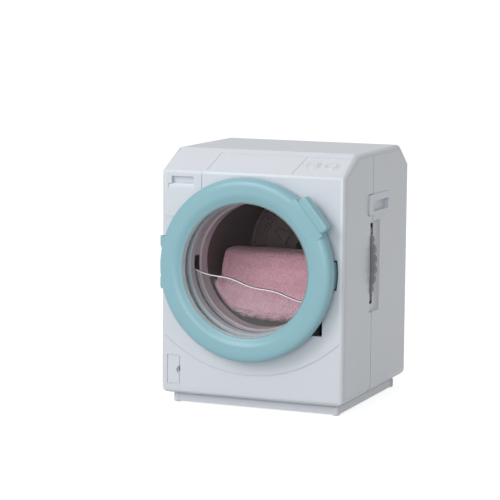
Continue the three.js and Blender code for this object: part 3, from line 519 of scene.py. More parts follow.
def finishes(colours):
    """Every material of the machine, made once."""
    if "moulded white ABS" not in bpy.data.materials:
        shell, collar, teal = colours.shell, colours.collar, colours.teal
        add_material("moulded white ABS", moulded_plastic, shell, 0.32, 0.35 * MM, 0.006 * MM)
        # The collar's copy of the white plastic, with painted shade and a painted pink glow from the towel.
        add_material("white ABS with painted pink shade", moulded_plastic, collar, 0.32, 0.35 * MM, 0.006 * MM)
        add_material("moulded teal ABS", moulded_plastic, teal, 0.32, 0.35 * MM, 0.005 * MM)
        add_material("moulded dark polypropylene", moulded_plastic, colours.drum, 0.4, 0.4 * MM,
                     0.01 * MM, ior=1.49)
        add_material("moulded grey ABS", moulded_plastic, colours.wheel, 0.5, 0.4 * MM,
                     0.01 * MM, mottling=0.12)
        add_material("clear polystyrene window", clear_polystyrene, colours.clear, 0.0)
        add_material("clear polystyrene bezel", clear_polystyrene, colours.clear, 0.2)
        add_material("clear polystyrene plate", refracting_polystyrene, colours.clear)
        add_material("zinc-plated steel", turned_steel, colours.steel)
        add_material("blackened steel", turned_steel, colours.black)
        add_material("terry cloth", terry_cloth, colours.towel, colours.towel_painted_gap_shade)
    return bpy.data.materials


# Casing


def bevel_rim(piece, axis, level, width, segments, hull_only=True):
    """Bevels the rim of a piece where it ends at a level along an axis, on its outer skin or everywhere."""
    select_only(piece)
    mesh = piece.data
    upright = 0.1
    skin = 0.03 * MM
    for part in (*mesh.vertices, *mesh.edges, *mesh.polygons):
        part.select = False
    at_level = [v.co for v in mesh.vertices if abs(v.co[axis] - level) < WELD]
    skins = {}
    for polygon in mesh.polygons:
        for key in polygon.edge_keys:
            skins.setdefault(key, []).append(polygon.normal)
    for edge in mesh.edges:
        a, b = (mesh.vertices[i].co for i in edge.vertices)
        outwards = [n for n in skins[edge.key] if abs(n[axis]) < upright]
        if max(abs(a[axis] - level), abs(b[axis] - level)) > WELD or len(outwards) != 1:
            continue
        reach = max(co.dot(outwards[0]) for co in at_level)
        edge.select = not hull_only or reach - (a + b).dot(outwards[0]) / 2 < skin
    bpy.context.tool_settings.mesh_select_mode = (False, True, False)
    bpy.ops.object.mode_set(mode="EDIT")
    bpy.ops.mesh.bevel(offset=width, segments=segments, clamp_overlap=False)
    bpy.ops.object.mode_set(mode="OBJECT")
    bpy.context.tool_settings.mesh_select_mode = (True, False, False)


def add_button_rim(place):
    """A low round rim about a button, half sunk in the slanted panel."""
    deselect()
    radius, thickness, sink = 1.9 * MM, 0.4 * MM, 0.45 * MM
    turn = Matrix.Rotation(PANEL_SLOPE, 4, "X")
    spot = Vector((0, FRONT, CREASE)) + turn @ Vector((place, PANEL_MIDDLE, -sink))
    bpy.ops.mesh.primitive_torus_add(
        location=spot, rotation=(PANEL_SLOPE, 0, 0), major_radius=radius, minor_radius=thickness,
        major_segments=48, minor_segments=16)
    apply_place()
    return name_piece(bpy.context.object, "rim")


def round_tray(piece):
    """Rounds the base tray's feet and rims."""
    bevel_rim(piece, 2, 0, 0.5 * MM, 4, hull_only=False)
    bevel_rim(piece, 2, TRAY_BOTTOM, 0.6 * MM, 4)
    bevel_rim(piece, 2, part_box("base_tray")[1].z, 0.6 * MM, 4, hull_only=False)


def finish_front(piece):
    """Chamfers the rim, cuts the flap's notch, slopes the drawer's pocket and rims the buttons."""
    bevel_rim(piece, 1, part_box("front_shell")[1].y, 0.35 * MM, 1)
    x, z = NOTCH
    radius = 0.95 * MM
    notch = add_rod("notch", radius, (x, FRONT - MM, z), (x, FRONT + 3 * MM, z))
    cut(notch, add_block("half", (x, FRONT - 2 * MM, z - 2 * MM),
                         (x + 2 * MM, FRONT + 4 * MM, z + 2 * MM)))
    cut(piece, notch)
    low, high = CREASE - 3.75 * MM, CREASE - 1.75 * MM
    pocket, foot, top = 0.5 * MM, 1.45 * MM, MM
    section = [(pocket, low), (foot, low), (top, high), (pocket, high)]
    outline = [(POCKET_LEFT, FRONT + depth, level) for depth, level in section]
    width = 6.5 * MM
    cut(piece, extrude_outline("scoop", outline, (width, 0, 0)))
    for place in BUTTONS:
        add(piece, add_button_rim(place))


def open_slots(piece):
    """Opens the thumbwheel's slots in the rear half, and thins the wall behind their edge from inside."""
    bevel_rim(piece, 1, SEAM, 0.1 * MM, 1)
    wall, left_wall, undercut_reach = 1.8 * MM, 1.08 * MM, 1.8 * MM
    inner = HALF_WIDTH - wall
    opening = (HALF_WIDTH + MM, SEAM - MM, SLOT_END)
    undercut = (HALF_WIDTH - left_wall, SLOT_END - MM, SLOT_END + undercut_reach)
    for side in (-1, 1):
        for outer, start, end in (opening, undercut):
            xs = sorted((side * outer, side * inner))
            cut(piece, add_block("slot", (xs[0], start, AXIS.z - SLOT_HALF),
                                 (xs[1], end, AXIS.z + SLOT_HALF)))


def make_case(name, node, shape, finish):
    """A half of the casing or its base, with soft moulded edges on the CAD form."""
    piece = copy_of_node(name, node)
    shape(piece)
    round_edges(piece, 0.14 * MM, segments=2, limit=38)
    dress(piece, finish, "housing", "white_plastic", node, smooth=38)
    return modify(piece, "WEIGHTED_NORMAL", mode="FACE_AREA", weight=50, keep_sharp=True)


# Door


def ring_section(sizes):
    """The ring's moulded section as (radius, y): lip, crown, widest line, and the hollow behind them."""
    inner = sizes.lip_radius
    outer = RING_RADIUS
    skin = sizes.skin
    crown_share = 0.42
    fullness = 0.62
    crown = inner + crown_share * (outer - inner)
    tuck = 0.9 * MM
    glass_face = FRONT - 3.2 * MM
    lip = FRONT - sizes.lip_height
    widest = FRONT - sizes.widest_height
    foot = FRONT - sizes.stand_off
    lip_round = 0.35 * MM
    steps = 10
    section = [(inner, glass_face), (inner, lip + lip_round)]
    for i in range(1, 4):
        turn = math.pi / 2 * i / 3
        section.append((inner + lip_round * (1 - math.cos(turn)), lip + lip_round * (1 - math.sin(turn))))
    start = inner + lip_round
    for i in range(1, steps + 1):
        share = i / steps
        rise = (sizes.crown_height - sizes.lip_height) * math.sin(math.pi / 2 * share)
        section.append((start + (crown - start) * share, lip - rise))
    for i in range(1, 2 * steps + 1):
        turn = math.pi / 2 * i / (2 * steps)
        rise, reach = max(math.cos(turn), 0) ** fullness, math.sin(turn) ** fullness
        height = sizes.widest_height + (sizes.crown_height - sizes.widest_height) * rise
        section.append((crown + (outer - crown) * reach, FRONT - height))
    return section + [
        (outer - 0.25 * tuck, FRONT - (sizes.widest_height + sizes.stand_off) / 2),
        (outer - tuck, foot), (outer - tuck - skin, foot), (outer - skin - tuck / 3, widest + skin),
        (outer - 2 * skin, widest - skin / 2), (inner + skin, glass_face - skin / 2),
        (inner + skin, glass_face),
    ]


def rounded_outline(x0, x1, z0, z1, radius, y):
    """A rectangle with rounded corners at a depth."""
    corners = [(x1 - radius, z1 - radius), (x0 + radius, z1 - radius), (x0 + radius, z0 + radius),
               (x1 - radius, z0 + radius)]
    outline = []
    for i, (x, z) in enumerate(corners):
        for j in range(7):
            turn = math.pi / 2 * (i + j / 6)
            outline.append((x + radius * math.cos(turn), y, z + radius * math.sin(turn)))
    return outline


def make_handle(sizes):
    """The door's handle, standing over a flat raised platform on the ring."""
    top = FRONT - sizes.crown_height
    reach = RING_RADIUS + sizes.handle_reach
    half = sizes.handle_length / 2
    front = top - sizes.handle_rise
    outline = rounded_outline(reach - sizes.handle_width, reach, AXIS.z - half, AXIS.z + half, MM, front)
    depth = 3.2 * MM
    grip = extrude_outline("grip", outline, (0, depth, 0))
    round_edges(grip, 0.6 * MM, segments=5)
    margin = 0.75 * MM
    shift = 0.3 * MM
    width = 4.9 * MM
    pad = add_block("platform", (RING_RADIUS - width, top, AXIS.z - half - margin + shift),
                    (RING_RADIUS + MM, FRONT - sizes.widest_height, AXIS.z + half + margin + shift))
    combine(pad, "INTERSECT", add_rod("round", RING_RADIUS, (0, top - MM, AXIS.z),
                                      (0, FRONT, AXIS.z), sides=160))
    round_edges(pad, 0.35 * MM)
    return [turn_about_axis(piece, sizes.handle_angle) for piece in (pad, grip)]


def make_knuckles(sizes):
    """Two hinge knuckles with the arms that join them to the ring's skirt."""
    radius = 1.8 * MM
    half = 1.4 * MM
    pieces = []
    for level in KNUCKLES:
        low, high = level - half, level + half
        barrel = add_rod("barrel", radius, (HINGE.x, HINGE.y, low), (HINGE.x, HINGE.y, high))
        round_edges(barrel, 0.25 * MM)
        arm = add_block("arm", (HINGE.x, FRONT - sizes.widest_height + sizes.skin / 2, low),
                        (HINGE.x + 3 * MM, FRONT - 0.3 * MM, high))
        cut(arm, add_rod("skirt", RING_RADIUS - 1.5 * MM, (0, FRONT - 6 * MM, AXIS.z),
                         (0, FRONT + 6 * MM, AXIS.z), sides=160))
        pieces += [barrel, arm]
    return pieces


def pin_bores():
    """Bores for the hinge pin."""
    radius = 0.58 * MM
    half = 2 * MM
    return [add_rod("bore", radius, (HINGE.x, HINGE.y, level - half), (HINGE.x, HINGE.y, level + half))
            for level in KNUCKLES]


def make_ring(sizes, finish):
    """The teal door ring with its handle, knuckles and latch lug in one moulding."""
    ring = turn_section("door_ring_moulding", ring_section(sizes), 160)
    latch_outer = HALF_WIDTH - 2.2 * MM
    latch_inner = latch_outer - 1.4 * MM
    latch_low, latch_high = math.radians(-9.7), math.radians(7.8)
    lug = arc_band("lug", latch_inner, latch_outer, latch_low, latch_high,
                   FRONT - 2.2 * MM, FRONT + 3 * MM)
    add(ring, *make_handle(sizes), *make_knuckles(sizes), round_edges(lug, 0.2 * MM))
    cut(ring, *pin_bores())
    return dress(ring, finish, "door", "teal_plastic", "door_ring", smooth=35)


def make_back_ring(sizes, finish):
    """The flat ring that holds the window from behind."""
    low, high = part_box("door_back_ring")
    inner = sizes.lip_radius + 0.3 * MM
    ring = turn_section("door_back_ring_moulding", [
        (inner, low.y), (high.x, low.y), (high.x, high.y), (inner, high.y)], 128)
    round_edges(ring, 0.15 * MM)
    return dress(ring, finish, "door", "teal_plastic", "door_back_ring")


def make_window(sizes, finish, edge_finish):
    """The clear round window, domed a little, and its thin bezel inside the ring's lip."""
    flange, rear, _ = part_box("door_window")[1]
    face = rear - MM
    dome = 0.7 * MM
    steps = 10
    turns = [math.pi / 2 * i / steps for i in range(steps + 1)]
    bowed = [(sizes.throat * math.sin(turn), -dome * math.cos(turn)) for turn in turns]
    section = [(radius, face + y) for radius, y in bowed] + [(flange, face), (flange, rear)]
    section += [(radius, rear + y) for radius, y in reversed(bowed)]
    window = turn_section("door_window_pane", section, 128)
    dress(window, finish, "door", "clear_plastic", "door_window")
    inner = sizes.lip_radius - 0.2 * MM
    outer = sizes.lip_radius - 0.03 * MM
    lip = FRONT - sizes.lip_height - 0.1 * MM
    shoulder = lip + 0.12 * MM
    foot = face - 0.02 * MM
    middle = (inner + outer) / 2
    bezel = turn_section("door_window_bezel", [
        (inner, foot), (inner, shoulder), (middle, lip), (outer, shoulder), (outer, foot)], 128)
    return dress(bezel, edge_finish, "door", "clear_plastic")


# Opening


def make_collar(sizes, finish):
    """The white collar behind the opening, with its skirt, rear spigot, wave-plate slot and four ears."""
    throat_end = FRONT + 2.5 * MM
    flange_front = throat_end + 2.5 * MM
    flange_back = flange_front + 1.3 * MM
    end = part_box("tub_collar")[1].y
    skirt_inner = sizes.throat + 2.3 * MM
    wall = 1.2 * MM
    gap = 0.3 * MM
    lead = 0.25 * MM
    step = flange_front + 0.65 * MM
    skirt_front = FRONT + 1.9 * MM
    spigot = sizes.tunnel + 0.95 * MM
    collar = turn_section("tub_collar_moulding", [
        (sizes.tunnel + lead, end), (sizes.tunnel, end - lead),
        (sizes.tunnel, step + lead), (sizes.tunnel + lead, step),
        (sizes.throat, step), (sizes.throat, throat_end + gap),
        (sizes.throat + wall, throat_end + gap), (sizes.throat + wall, flange_front),
        (skirt_inner, flange_front), (skirt_inner, skirt_front),
        (skirt_inner + wall, skirt_front), (skirt_inner + wall, flange_back),
        (spigot, flange_back), (spigot, end),
    ], 128)
    half = math.radians(97)
    cut(collar, arc_band("relief", sizes.throat - MM, sizes.throat + wall + 0.6 * MM,
                         -math.pi / 2 - half, -math.pi / 2 + half, throat_end - MM, flange_front, steps=72))
    half = math.radians(6.8)
    for middle in (math.pi, 0):
        cut(collar, arc_band("gap", sizes.tunnel + 0.3 * MM, sizes.throat + 5 * MM, middle - half,
                             middle + half, throat_end + 0.8 * MM, flange_back + 0.4 * MM))
    post_x, post_z, post_radius = 15.06, 12.86, 2
    root = 9 * MM
    ears = []
    for sx, sz in [(sx, sz) for sx in (-1, 1) for sz in (-1, 1)]:
        height = 3 if sz > 0 else 4.2
        xs = sorted((sx * root, sx * (post_x + post_radius) * MM))
        zs = sorted((sz * root, sz * (post_z + height - 0.1) * MM))
        ear = add_block("ear", (xs[0], flange_front, AXIS.z + zs[0]), (xs[1], flange_back, AXIS.z + zs[1]))
        ears.append(cut(ear, add_rod("bore", sizes.throat + wall / 2, (0, throat_end, AXIS.z),
                                     (0, end + MM, AXIS.z), sides=128)))
    add(collar, *ears)
    return dress(collar, finish, "housing", "white_plastic", "tub_collar")


def make_wave_plate(sizes, finish):
    """The clear plate with a wavy top edge, standing on a curved shoe in the collar's slot."""
    low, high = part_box("wave_screen")
    slot_middle = (low.y + high.y) / 2
    shoe_outer = sizes.throat + 2 * MM
    shoe_inner = sizes.throat + 0.3 * MM
    half = math.radians(73)
    thickness = 0.9 * MM
    waves = 2.8
    start_share = 0.59
    rise = 0.6 * MM
    steps = 84
    y = slot_middle - thickness / 2
    chord_x = shoe_outer * math.sin(half)
    chord_z = AXIS.z - shoe_outer * math.cos(half)
    top_x = (AXIS.z - chord_z - rise) * math.tan(half)
    outline = [(-chord_x, y, chord_z)]
    for i in range(steps + 1):
        x = top_x * (2 * i / steps - 1)
        share = (x / chord_x + 1) / 2
        lift = rise + sizes.wave_height * math.sin(2 * math.pi * waves * (share - start_share))
        outline.append((x, y, chord_z + lift))
    outline.append((chord_x, y, chord_z))
    outline += arc_points(shoe_outer, -math.pi / 2 + half, -math.pi / 2 - half, 72, y)[1:-1]
    plate = extrude_outline("wave_screen_moulding", outline, (0, thickness, 0))
    shoe = arc_band("shoe", shoe_inner, shoe_outer, -math.pi / 2 - half, -math.pi / 2 + half,
                    low.y, high.y, steps=72)
    round_edges(plate, 0.4 * MM, segments=2, limit=50)
    combine(plate, "UNION", shoe, solver="MANIFOLD")
    turn_about_axis(plate, -sizes.wave_tilt)
    return dress(plate, finish, "wave", "clear_plastic", "wave_screen", smooth=35)


# Drum


def drum_radius(sizes, y):
    """Inner radius of the tapered drum at a depth."""
    return sizes.drum_inner - sizes.drum_taper * (y - DRUM_MOUTH) / (DRUM_END - DRUM_MOUTH)


def make_drum(sizes, finish):
    """The dark drum with the rib that stops the thumbwheel."""
    wall = 1.1 * MM
    end = DRUM_END - wall
    rib_front = SEAM + 0.3 * MM
    rib_back = rib_front + 1.2 * MM
    rib_height = 1.1 * MM
    lip = 2.4 * MM
    lead = 0.2 * MM
    mouth = sizes.drum_inner
    rear = drum_radius(sizes, end)
    at_back = drum_radius(sizes, rib_back) + wall
    at_front = drum_radius(sizes, rib_front) + wall
    drum = turn_section("drum_moulding", [
        (mouth + lead, DRUM_MOUTH), (mouth, DRUM_MOUTH + lead), (rear, end),
        (rear - lip, end), (rear - lip, DRUM_END), (rear + wall, DRUM_END),
        (at_back, rib_back), (at_back + rib_height, rib_back),
        (at_front + rib_height, rib_front), (at_front, rib_front),
        (mouth + wall - lead, DRUM_MOUTH + lead), (mouth + wall - 2 * lead, DRUM_MOUTH),
    ], 144)
    return dress(drum, finish, "drum", "drum_plastic", "drum_tub")


def make_nubs(sizes, face):
    """Rings of small nubs on the drum's rear wall, each copied from one."""
    deselect()
    bpy.ops.mesh.primitive_uv_sphere_add(segments=8, ring_count=5, radius=sizes.nub)
    first = name_piece(bpy.context.object, "nub")
    nubs = [first]
    pitch = 1.05 * MM
    rows = [13.2 * MM, 14.2 * MM, 15.2 * MM, 16.2 * MM]
    for row, radius in enumerate(rows):
        count = round(2 * math.pi * radius / pitch)
        for i in range(count):
            turn = 2 * math.pi * (i + (row % 2) / 2) / count
            nub = add_object("nub", first.data.copy())
            nub.location = AXIS + Vector((radius * math.cos(turn), face, radius * math.sin(turn)))
            nubs.append(nub)
    bpy.data.objects.remove(nubs.pop(0))
    deselect()
    for nub in nubs:
        nub.select_set(True)
    bpy.context.view_layer.objects.active = nubs[0]
    bpy.ops.object.join()
    apply_place()
    return bpy.context.object


def petal_outline(inner, outer, inner_half, outer_half, middle, y):
    """A pad's outline: wide at the hub and narrow at the rim."""
    return (arc_points(inner, middle - inner_half, middle + inner_half, 8, y)
            + arc_points(outer, middle + outer_half, middle - outer_half, 4, y))


def make_back_plate(sizes, finish):
    """The drum's rear wall: hub, six raised pads in sunk outlines, and a band of nubs."""
    low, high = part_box("drum_back_plate")
    pad_rise = 0.4 * MM
    face = low.y + pad_rise
    radius = high.x
    rear = face + 1.2 * MM
    bore = 2.28 * MM
    hub = bore + 1.3 * MM
    plate = turn_section("drum_rear_wall", [
        (bore, face), (radius, face), (radius, rear), (hub, rear), (hub, high.y), (bore, high.y),
    ], 144)
    pads = 6
    groove = 0.65 * MM
    depth = 0.75 * MM
    root = 0.3 * MM
    inner, outer = 6 * MM, 10.8 * MM
    for i in range(pads):
        middle = 2 * math.pi * (i + 0.5) / pads
        sunk = petal_outline(inner, outer, math.radians(25), math.radians(5.5), middle, face - MM)
        raised = petal_outline(inner + groove, outer - groove, math.radians(20), math.radians(2.2),
                               middle, face - pad_rise)
        cut(plate, extrude_outline("sunk", sunk, (0, MM + depth, 0)))
        add(plate, extrude_outline("raised", raised, (0, 2 * pad_rise + root, 0)))
    dress(plate, finish, "drum", "drum_plastic", "drum_back_plate")
    nubs = name_piece(make_nubs(sizes, face), "drum_nubs")
    dress(nubs, finish, "drum", "drum_plastic", smooth=180)
    return plate


def make_wheel(sizes, finish):
    """The scalloped thumbwheel around the drum."""
    low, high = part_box("thumbwheel")
    radius = high.x
    scallops = 60
    steps = 8
    total = scallops * steps
    outline = []
    for i in range(total):
        turn = 2 * math.pi * i / total
        reach = radius - sizes.scallop_depth * (1 - abs(math.sin(turn * scallops / 2)))
        outline.append((reach * math.cos(turn), low.y, AXIS.z + reach * math.sin(turn)))
    wheel = extrude_outline("thumbwheel_moulding", outline, (0, high.y - low.y, 0))
    drum_wall = 1.25 * MM  # with a little room around it
    bore = drum_radius(sizes, low.y) + drum_wall
    cut(wheel, add_rod("bore", bore, (0, low.y - MM, AXIS.z), (0, high.y + MM, AXIS.z), sides=144))
    return dress(wheel, finish, "drum", "wheel_plastic", "thumbwheel", smooth=30)


# Towel


def towel_path():
    """The cloth's section in Y and Z: up the back, over the top, down the front, under and coiled in."""
    corners = [
        (7.5, 24.5), (8.2, 30), (7.6, 36), (5.2, 39.6), (1, 40.4), (-3.5, 40.5), (-7, 39.9),
        (-8.9, 36.9), (-10.4, 33.6), (-12.6, 30.4), (-13.9, 27), (-13.2, 24.2), (-9.8, 23), (-4, 22.4),
        (2, 22.6), (5, 24), (5.6, 29), (5, 34), (2.6, 37.2), (-2.5, 38), (-5.4, 36), (-7.6, 32.5),
        (-10.6, 28.4), (-10.2, 26.2), (-6, 25.6), (0, 25), (2.4, 27.5), (1.6, 33), (-2, 35),
        (-4.5, 32), (-6.5, 28.5),
    ]
    return [Vector((0, y * MM + CASE_MIDDLE, z * MM)) for y, z in corners]


def smooth_path(points, steps):
    """Points of a Catmull-Rom curve through a path."""
    ends = [2 * points[0] - points[1], *points, 2 * points[-1] - points[-2]]
    curve = []
    for p0, p1, p2, p3 in zip(ends, ends[1:], ends[2:], ends[3:]):
        for i in range(steps):
            t = i / steps
            curve.append(0.5 * (2 * p1 + (p2 - p0) * t + (2 * p0 - 5 * p1 + 4 * p2 - p3) * t ** 2
                                + (3 * p1 - p0 - 3 * p2 + p3) * t ** 3))
    curve.append(points[-1])
    return curve


def lay_in_drum(piece, sizes, bottom):
    """Lifts a straight roll's lower layers so that they lie pressed on the drum's round wall."""
    soft = 1.2 * MM
    gap = 1.1 * MM
    thinning = 0.25
    sink = 0.15 * MM
    for vertex in piece.data.vertices:
        room = drum_radius(sizes, vertex.co.y) - gap
        floor = AXIS.z - math.sqrt(max(room ** 2 - vertex.co.x ** 2, 0))
        pressed = floor + thinning * (vertex.co.z - bottom)
        apart = vertex.co.z - pressed
        vertex.co.z = (vertex.co.z + pressed + math.hypot(apart, soft)) / 2 - sink


def make_towel(sizes, finish):
    """The folded terry towel: one sheet, coiled, laid in the round drum, creased and covered in loops."""
    path = smooth_path(towel_path(), 10)
    left, right = -15.4 * MM, 15.2 * MM
    cells = 100
    cloth = draw_line("folded_towel", [Vector((left, p.y, p.z)) for p in path])
    step = (right - left) / cells
    for _ in range(cells):
        extrude((step, 0, 0))
    bpy.ops.object.mode_set(mode="OBJECT")
    lay_in_drum(cloth, sizes, min(p.z for p in path))
    for vertex in cloth.data.vertices:  # creases 6 to 17 mm long, deeper at the bottom
        x, y, z = vertex.co
        fold = noise.noise(Vector((x * 90, y * 160, z * 160)))
        low = max(0, 1 - (z - 22 * MM) / (8 * MM))
        vertex.co.y += (0.35 + 0.5 * low) * MM * fold
        vertex.co.z += 0.25 * MM * noise.noise(Vector((x * 120 + 7, y * 140, z * 60)))
    modify(cloth, "SOLIDIFY", thickness=sizes.towel_thickness, offset=0)
    outwards = [vertex.normal.copy() for vertex in cloth.data.vertices]
    loop_size = 0.5 * MM
    tuft_size, tuft_rise = 1.1 * MM, 0.45 * MM
    for vertex, normal in zip(cloth.data.vertices, outwards):  # loops, and tufts at the hem low in front
        loop = noise.noise(vertex.co / loop_size)
        front = min(max((-6 * MM - vertex.co.y) / (3 * MM), 0), 1)
        low = min(max((28 * MM - vertex.co.z) / (4 * MM), 0), 1)
        ragged = tuft_rise * front * low * noise.noise(vertex.co / tuft_size)
        vertex.co += normal * (sizes.pile * loop + ragged)
    dress(cloth, finish, "laundry", "terry_cloth", "towel", smooth=180)
    return cloth


# Stage

CAMERA_TARGET = Vector((-11.217 * MM, CASE_MIDDLE, 40.192 * MM))
LAMP_TARGET = Vector((0, 0, 35 * MM))
LAMPS = {  # place, width and level of each
    "key_lamp": ((-0.26, -0.7, 0.46), 0.4, 0.33),
    "front_lamp": ((0.12, -0.9, 0.2), 0.4, 0.2),
    "top_lamp": ((-0.36, 0.42, 0.75), 0.5, 0.07),
}


def make_camera(settings):
    """The camera at the photograph's angle."""
    data = bpy.data.cameras.new("camera")
    data.lens = settings.lens
    data.sensor_width = 36
    data.clip_start = 10 * MM
    camera = add_object("camera", data)
    camera.matrix_world = (
        Matrix.Translation(CAMERA_TARGET) @ Matrix.Rotation(settings.azimuth, 4, "Z")
        @ Matrix.Rotation(math.pi / 2 - settings.elevation, 4, "X")
        @ Matrix.Rotation(settings.roll, 4, "Z") @ Matrix.Translation((0, 0, settings.distance)))
    bpy.context.scene.camera = camera


def add_lamp(name, place, size, level):
    """A soft square lamp whose light gives a facing surface at the machine the stated level."""
    data = bpy.data.lights.new(name, "AREA")
    data.shape = "SQUARE"
    data.size = size
    place = Vector(place)
    data.energy = level * (math.pi * (place - LAMP_TARGET).length) ** 2
    lamp = add_object(name, data)
    lamp.location = place
    lamp.rotation_euler = (LAMP_TARGET - place).to_track_quat("-Z", "Y").to_euler()


def floor_paper(tree):
    """Matt white paper: white to the camera and in reflections, with the machine's shadow on it."""
    ray = add_node(tree, "ShaderNodeLightPath")
    seen = add_node(tree, "ShaderNodeMath", {
        0: ray.outputs["Is Camera Ray"], 1: ray.outputs["Is Glossy Ray"]}, operation="MAXIMUM")
    shown = add_node(tree, "ShaderNodeMath", {
        0: seen.outputs["Value"], 1: ray.outputs["Is Transmission Ray"]}, operation="MAXIMUM")
    paper = add_node(tree, "ShaderNodeBsdfDiffuse", {"Color": (0.5, 0.5, 0.5, 1)})
    glow = add_node(tree, "ShaderNodeEmission", {"Color": (1, 1, 1, 1), "Strength": 0.79})
    bright = add_node(tree, "ShaderNodeAddShader", {
        0: paper.outputs["BSDF"], 1: glow.outputs["Emission"]})
    surface = add_node(tree, "ShaderNodeMixShader", {
        0: shown.outputs["Value"], 1: paper.outputs["BSDF"], 2: bright.outputs["Shader"]})
    return surface.outputs["Shader"]


def make_world(settings):
    """Even light, white to the camera and through clear plastic, and brighter in reflections."""
    world = bpy.data.worlds.new("studio")
    bpy.context.scene.world = world
    world.use_nodes = True
    tree = world.node_tree
    tree.nodes.clear()
    ray = add_node(tree, "ShaderNodeLightPath")
    seen = add_node(tree, "ShaderNodeMath", {
        0: ray.outputs["Is Camera Ray"], 1: ray.outputs["Is Transmission Ray"]}, operation="MAXIMUM")
    mirrored = add_node(tree, "ShaderNodeMath", {
        0: ray.outputs["Is Glossy Ray"], 1: 0.4}, operation="MULTIPLY")
    shown = add_node(tree, "ShaderNodeMath", {
        0: seen.outputs["Value"], 1: mirrored.outputs["Value"]}, operation="MAXIMUM")
    level = add_node(tree, "ShaderNodeMapRange", {
        "Value": shown.outputs["Value"], "To Min": settings.ambient, "To Max": 1.0})
    light = add_node(tree, "ShaderNodeBackground", {
        "Color": (1, 1, 1, 1), "Strength": level.outputs["Result"]})
    add_node(tree, "ShaderNodeOutputWorld", {"Surface": light.outputs["Background"]})


# Operators


class WasherStep(bpy.types.Operator):
    """One step in dressing the machine."""
    bl_options = {"REGISTER", "UNDO"}

    def execute(self, context):
        """Makes the step's pieces with the scene's sizes and finishes."""
        self.make(context.scene.washer_sizes, finishes(context.scene.washer_colours))
        return {"FINISHED"}


class WASHER_OT_stage(WasherStep):
    """Sets up the camera, the floor and the light"""
    bl_idname = "washer.stage"
    bl_label = "Stage"

    def execute(self, context):
        settings = context.scene.washer_stage
        context.scene.view_settings.view_transform = "Standard"
        make_camera(settings)
        deselect()
        bpy.ops.mesh.primitive_plane_add(size=20)
        floor = name_piece(context.object, "floor")
        floor.data.materials.append(add_material("matt white paper", floor_paper))
        make_world(settings)
        for name, lamp in LAMPS.items():
            add_lamp(name, *lamp)
        return {"FINISHED"}


class WASHER_OT_casing(WasherStep):
    """Dresses the two halves of the casing and the base tray"""
    bl_idname = "washer.casing"
    bl_label = "Casing"

    def make(self, sizes, finish):
        white = finish["moulded white ABS"]
        make_case("front_case_moulding", "front_shell", finish_front, white)
        make_case("rear_case_moulding", "rear_shell", open_slots, white)
        make_case("base_tray_moulding", "base_tray", round_tray, white)


class WASHER_OT_door(WasherStep):
    """Models the door ring with its handle, the ring behind it and the window"""
    bl_idname = "washer.door"
    bl_label = "Door"

    def make(self, sizes, finish):
        make_ring(sizes, finish["moulded teal ABS"])
        make_back_ring(sizes, finish["moulded teal ABS"])
        make_window(sizes, finish["clear polystyrene window"], finish["clear polystyrene bezel"])


class WASHER_OT_collar(WasherStep):
    """Models the collar behind the opening"""
    bl_idname = "washer.collar"
    bl_label = "Collar"

    def make(self, sizes, finish):
        make_collar(sizes, finish["white ABS with painted pink shade"])


class WASHER_OT_wave_plate(WasherStep):
    """Models the clear rocking plate"""
    bl_idname = "washer.wave_plate"
    bl_label = "Wave plate"

    def make(self, sizes, finish):
        make_wave_plate(sizes, finish["clear polystyrene plate"])


class WASHER_OT_drum(WasherStep):
    """Models the drum, its rear wall and the thumbwheel"""
    bl_idname = "washer.drum"
    bl_label = "Drum"

    def make(self, sizes, finish):
        dark = finish["moulded dark polypropylene"]
        make_drum(sizes, dark)
        make_back_plate(sizes, dark)
        make_wheel(sizes, finish["moulded grey ABS"])


class WASHER_OT_towel(WasherStep):
    """Folds the terry towel into the drum"""
    bl_idname = "washer.towel"
    bl_label = "Towel"

    def make(self, sizes, finish):
        make_towel(sizes, finish["terry cloth"])


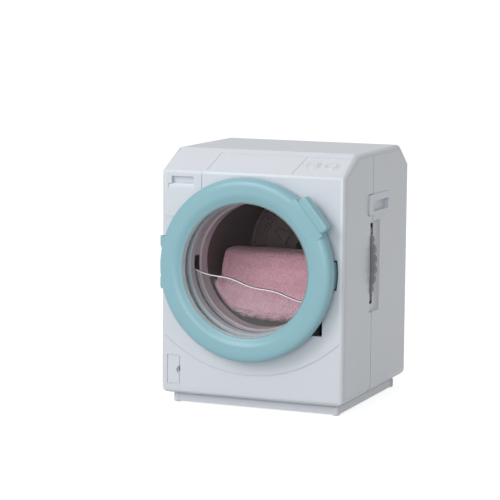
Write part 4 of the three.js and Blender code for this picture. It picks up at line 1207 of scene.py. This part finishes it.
class WASHER_OT_hardware(WasherStep):
    """Gives the screws, the washer and the hinge pin their finish"""
    bl_idname = "washer.hardware"
    bl_label = "Screws and pin"

    def make(self, sizes, finish):
        steel = finish["zinc-plated steel"]
        black = finish["blackened steel"]
        for name, node in frame["nodes"].items():
            if "screw" in name or name in ("hinge_pin", "hub_washer"):
                node.data.materials.clear()
                node.data.materials.append(black if "hub" in name else steel)


class WASHER_PT_panel(bpy.types.Panel):
    """Lists the steps in the 3D view's sidebar"""
    bl_idname = "WASHER_PT_panel"
    bl_label = "Toy washing machine"
    bl_space_type = "VIEW_3D"
    bl_region_type = "UI"
    bl_category = "Washer"

    def draw(self, context):
        for operator in OPERATORS:
            self.layout.operator(operator.bl_idname)
        for group in ("washer_sizes", "washer_colours", "washer_stage"):
            settings = getattr(context.scene, group)
            for name in settings.__annotations__:
                self.layout.prop(settings, name)


OPERATORS = [
    WASHER_OT_stage, WASHER_OT_casing, WASHER_OT_door, WASHER_OT_collar, WASHER_OT_wave_plate,
    WASHER_OT_drum, WASHER_OT_towel, WASHER_OT_hardware,
]
GROUPS = {
    "washer_sizes": WASHER_PG_sizes, "washer_colours": WASHER_PG_colours, "washer_stage": WASHER_PG_stage,
}


def register():
    """Registers the classes and hangs the settings on the scene."""
    for each in (*GROUPS.values(), *OPERATORS, WASHER_PT_panel):
        bpy.utils.register_class(each)
    for name, group in GROUPS.items():
        setattr(bpy.types.Scene, name, bpy.props.PointerProperty(type=group))


def unregister():
    """Takes the settings and the classes away again."""
    for name in GROUPS:
        delattr(bpy.types.Scene, name)
    for each in (WASHER_PT_panel, *reversed(OPERATORS), *GROUPS.values()):
        bpy.utils.unregister_class(each)


def main():
    """Dresses the machine step by step."""
    register()
    bpy.ops.washer.stage()
    bpy.ops.washer.casing()
    bpy.ops.washer.door()
    bpy.ops.washer.collar()
    bpy.ops.washer.wave_plate()
    bpy.ops.washer.drum()
    bpy.ops.washer.towel()
    bpy.ops.washer.hardware()
    deselect()


if __name__ == "__main__":
    main()
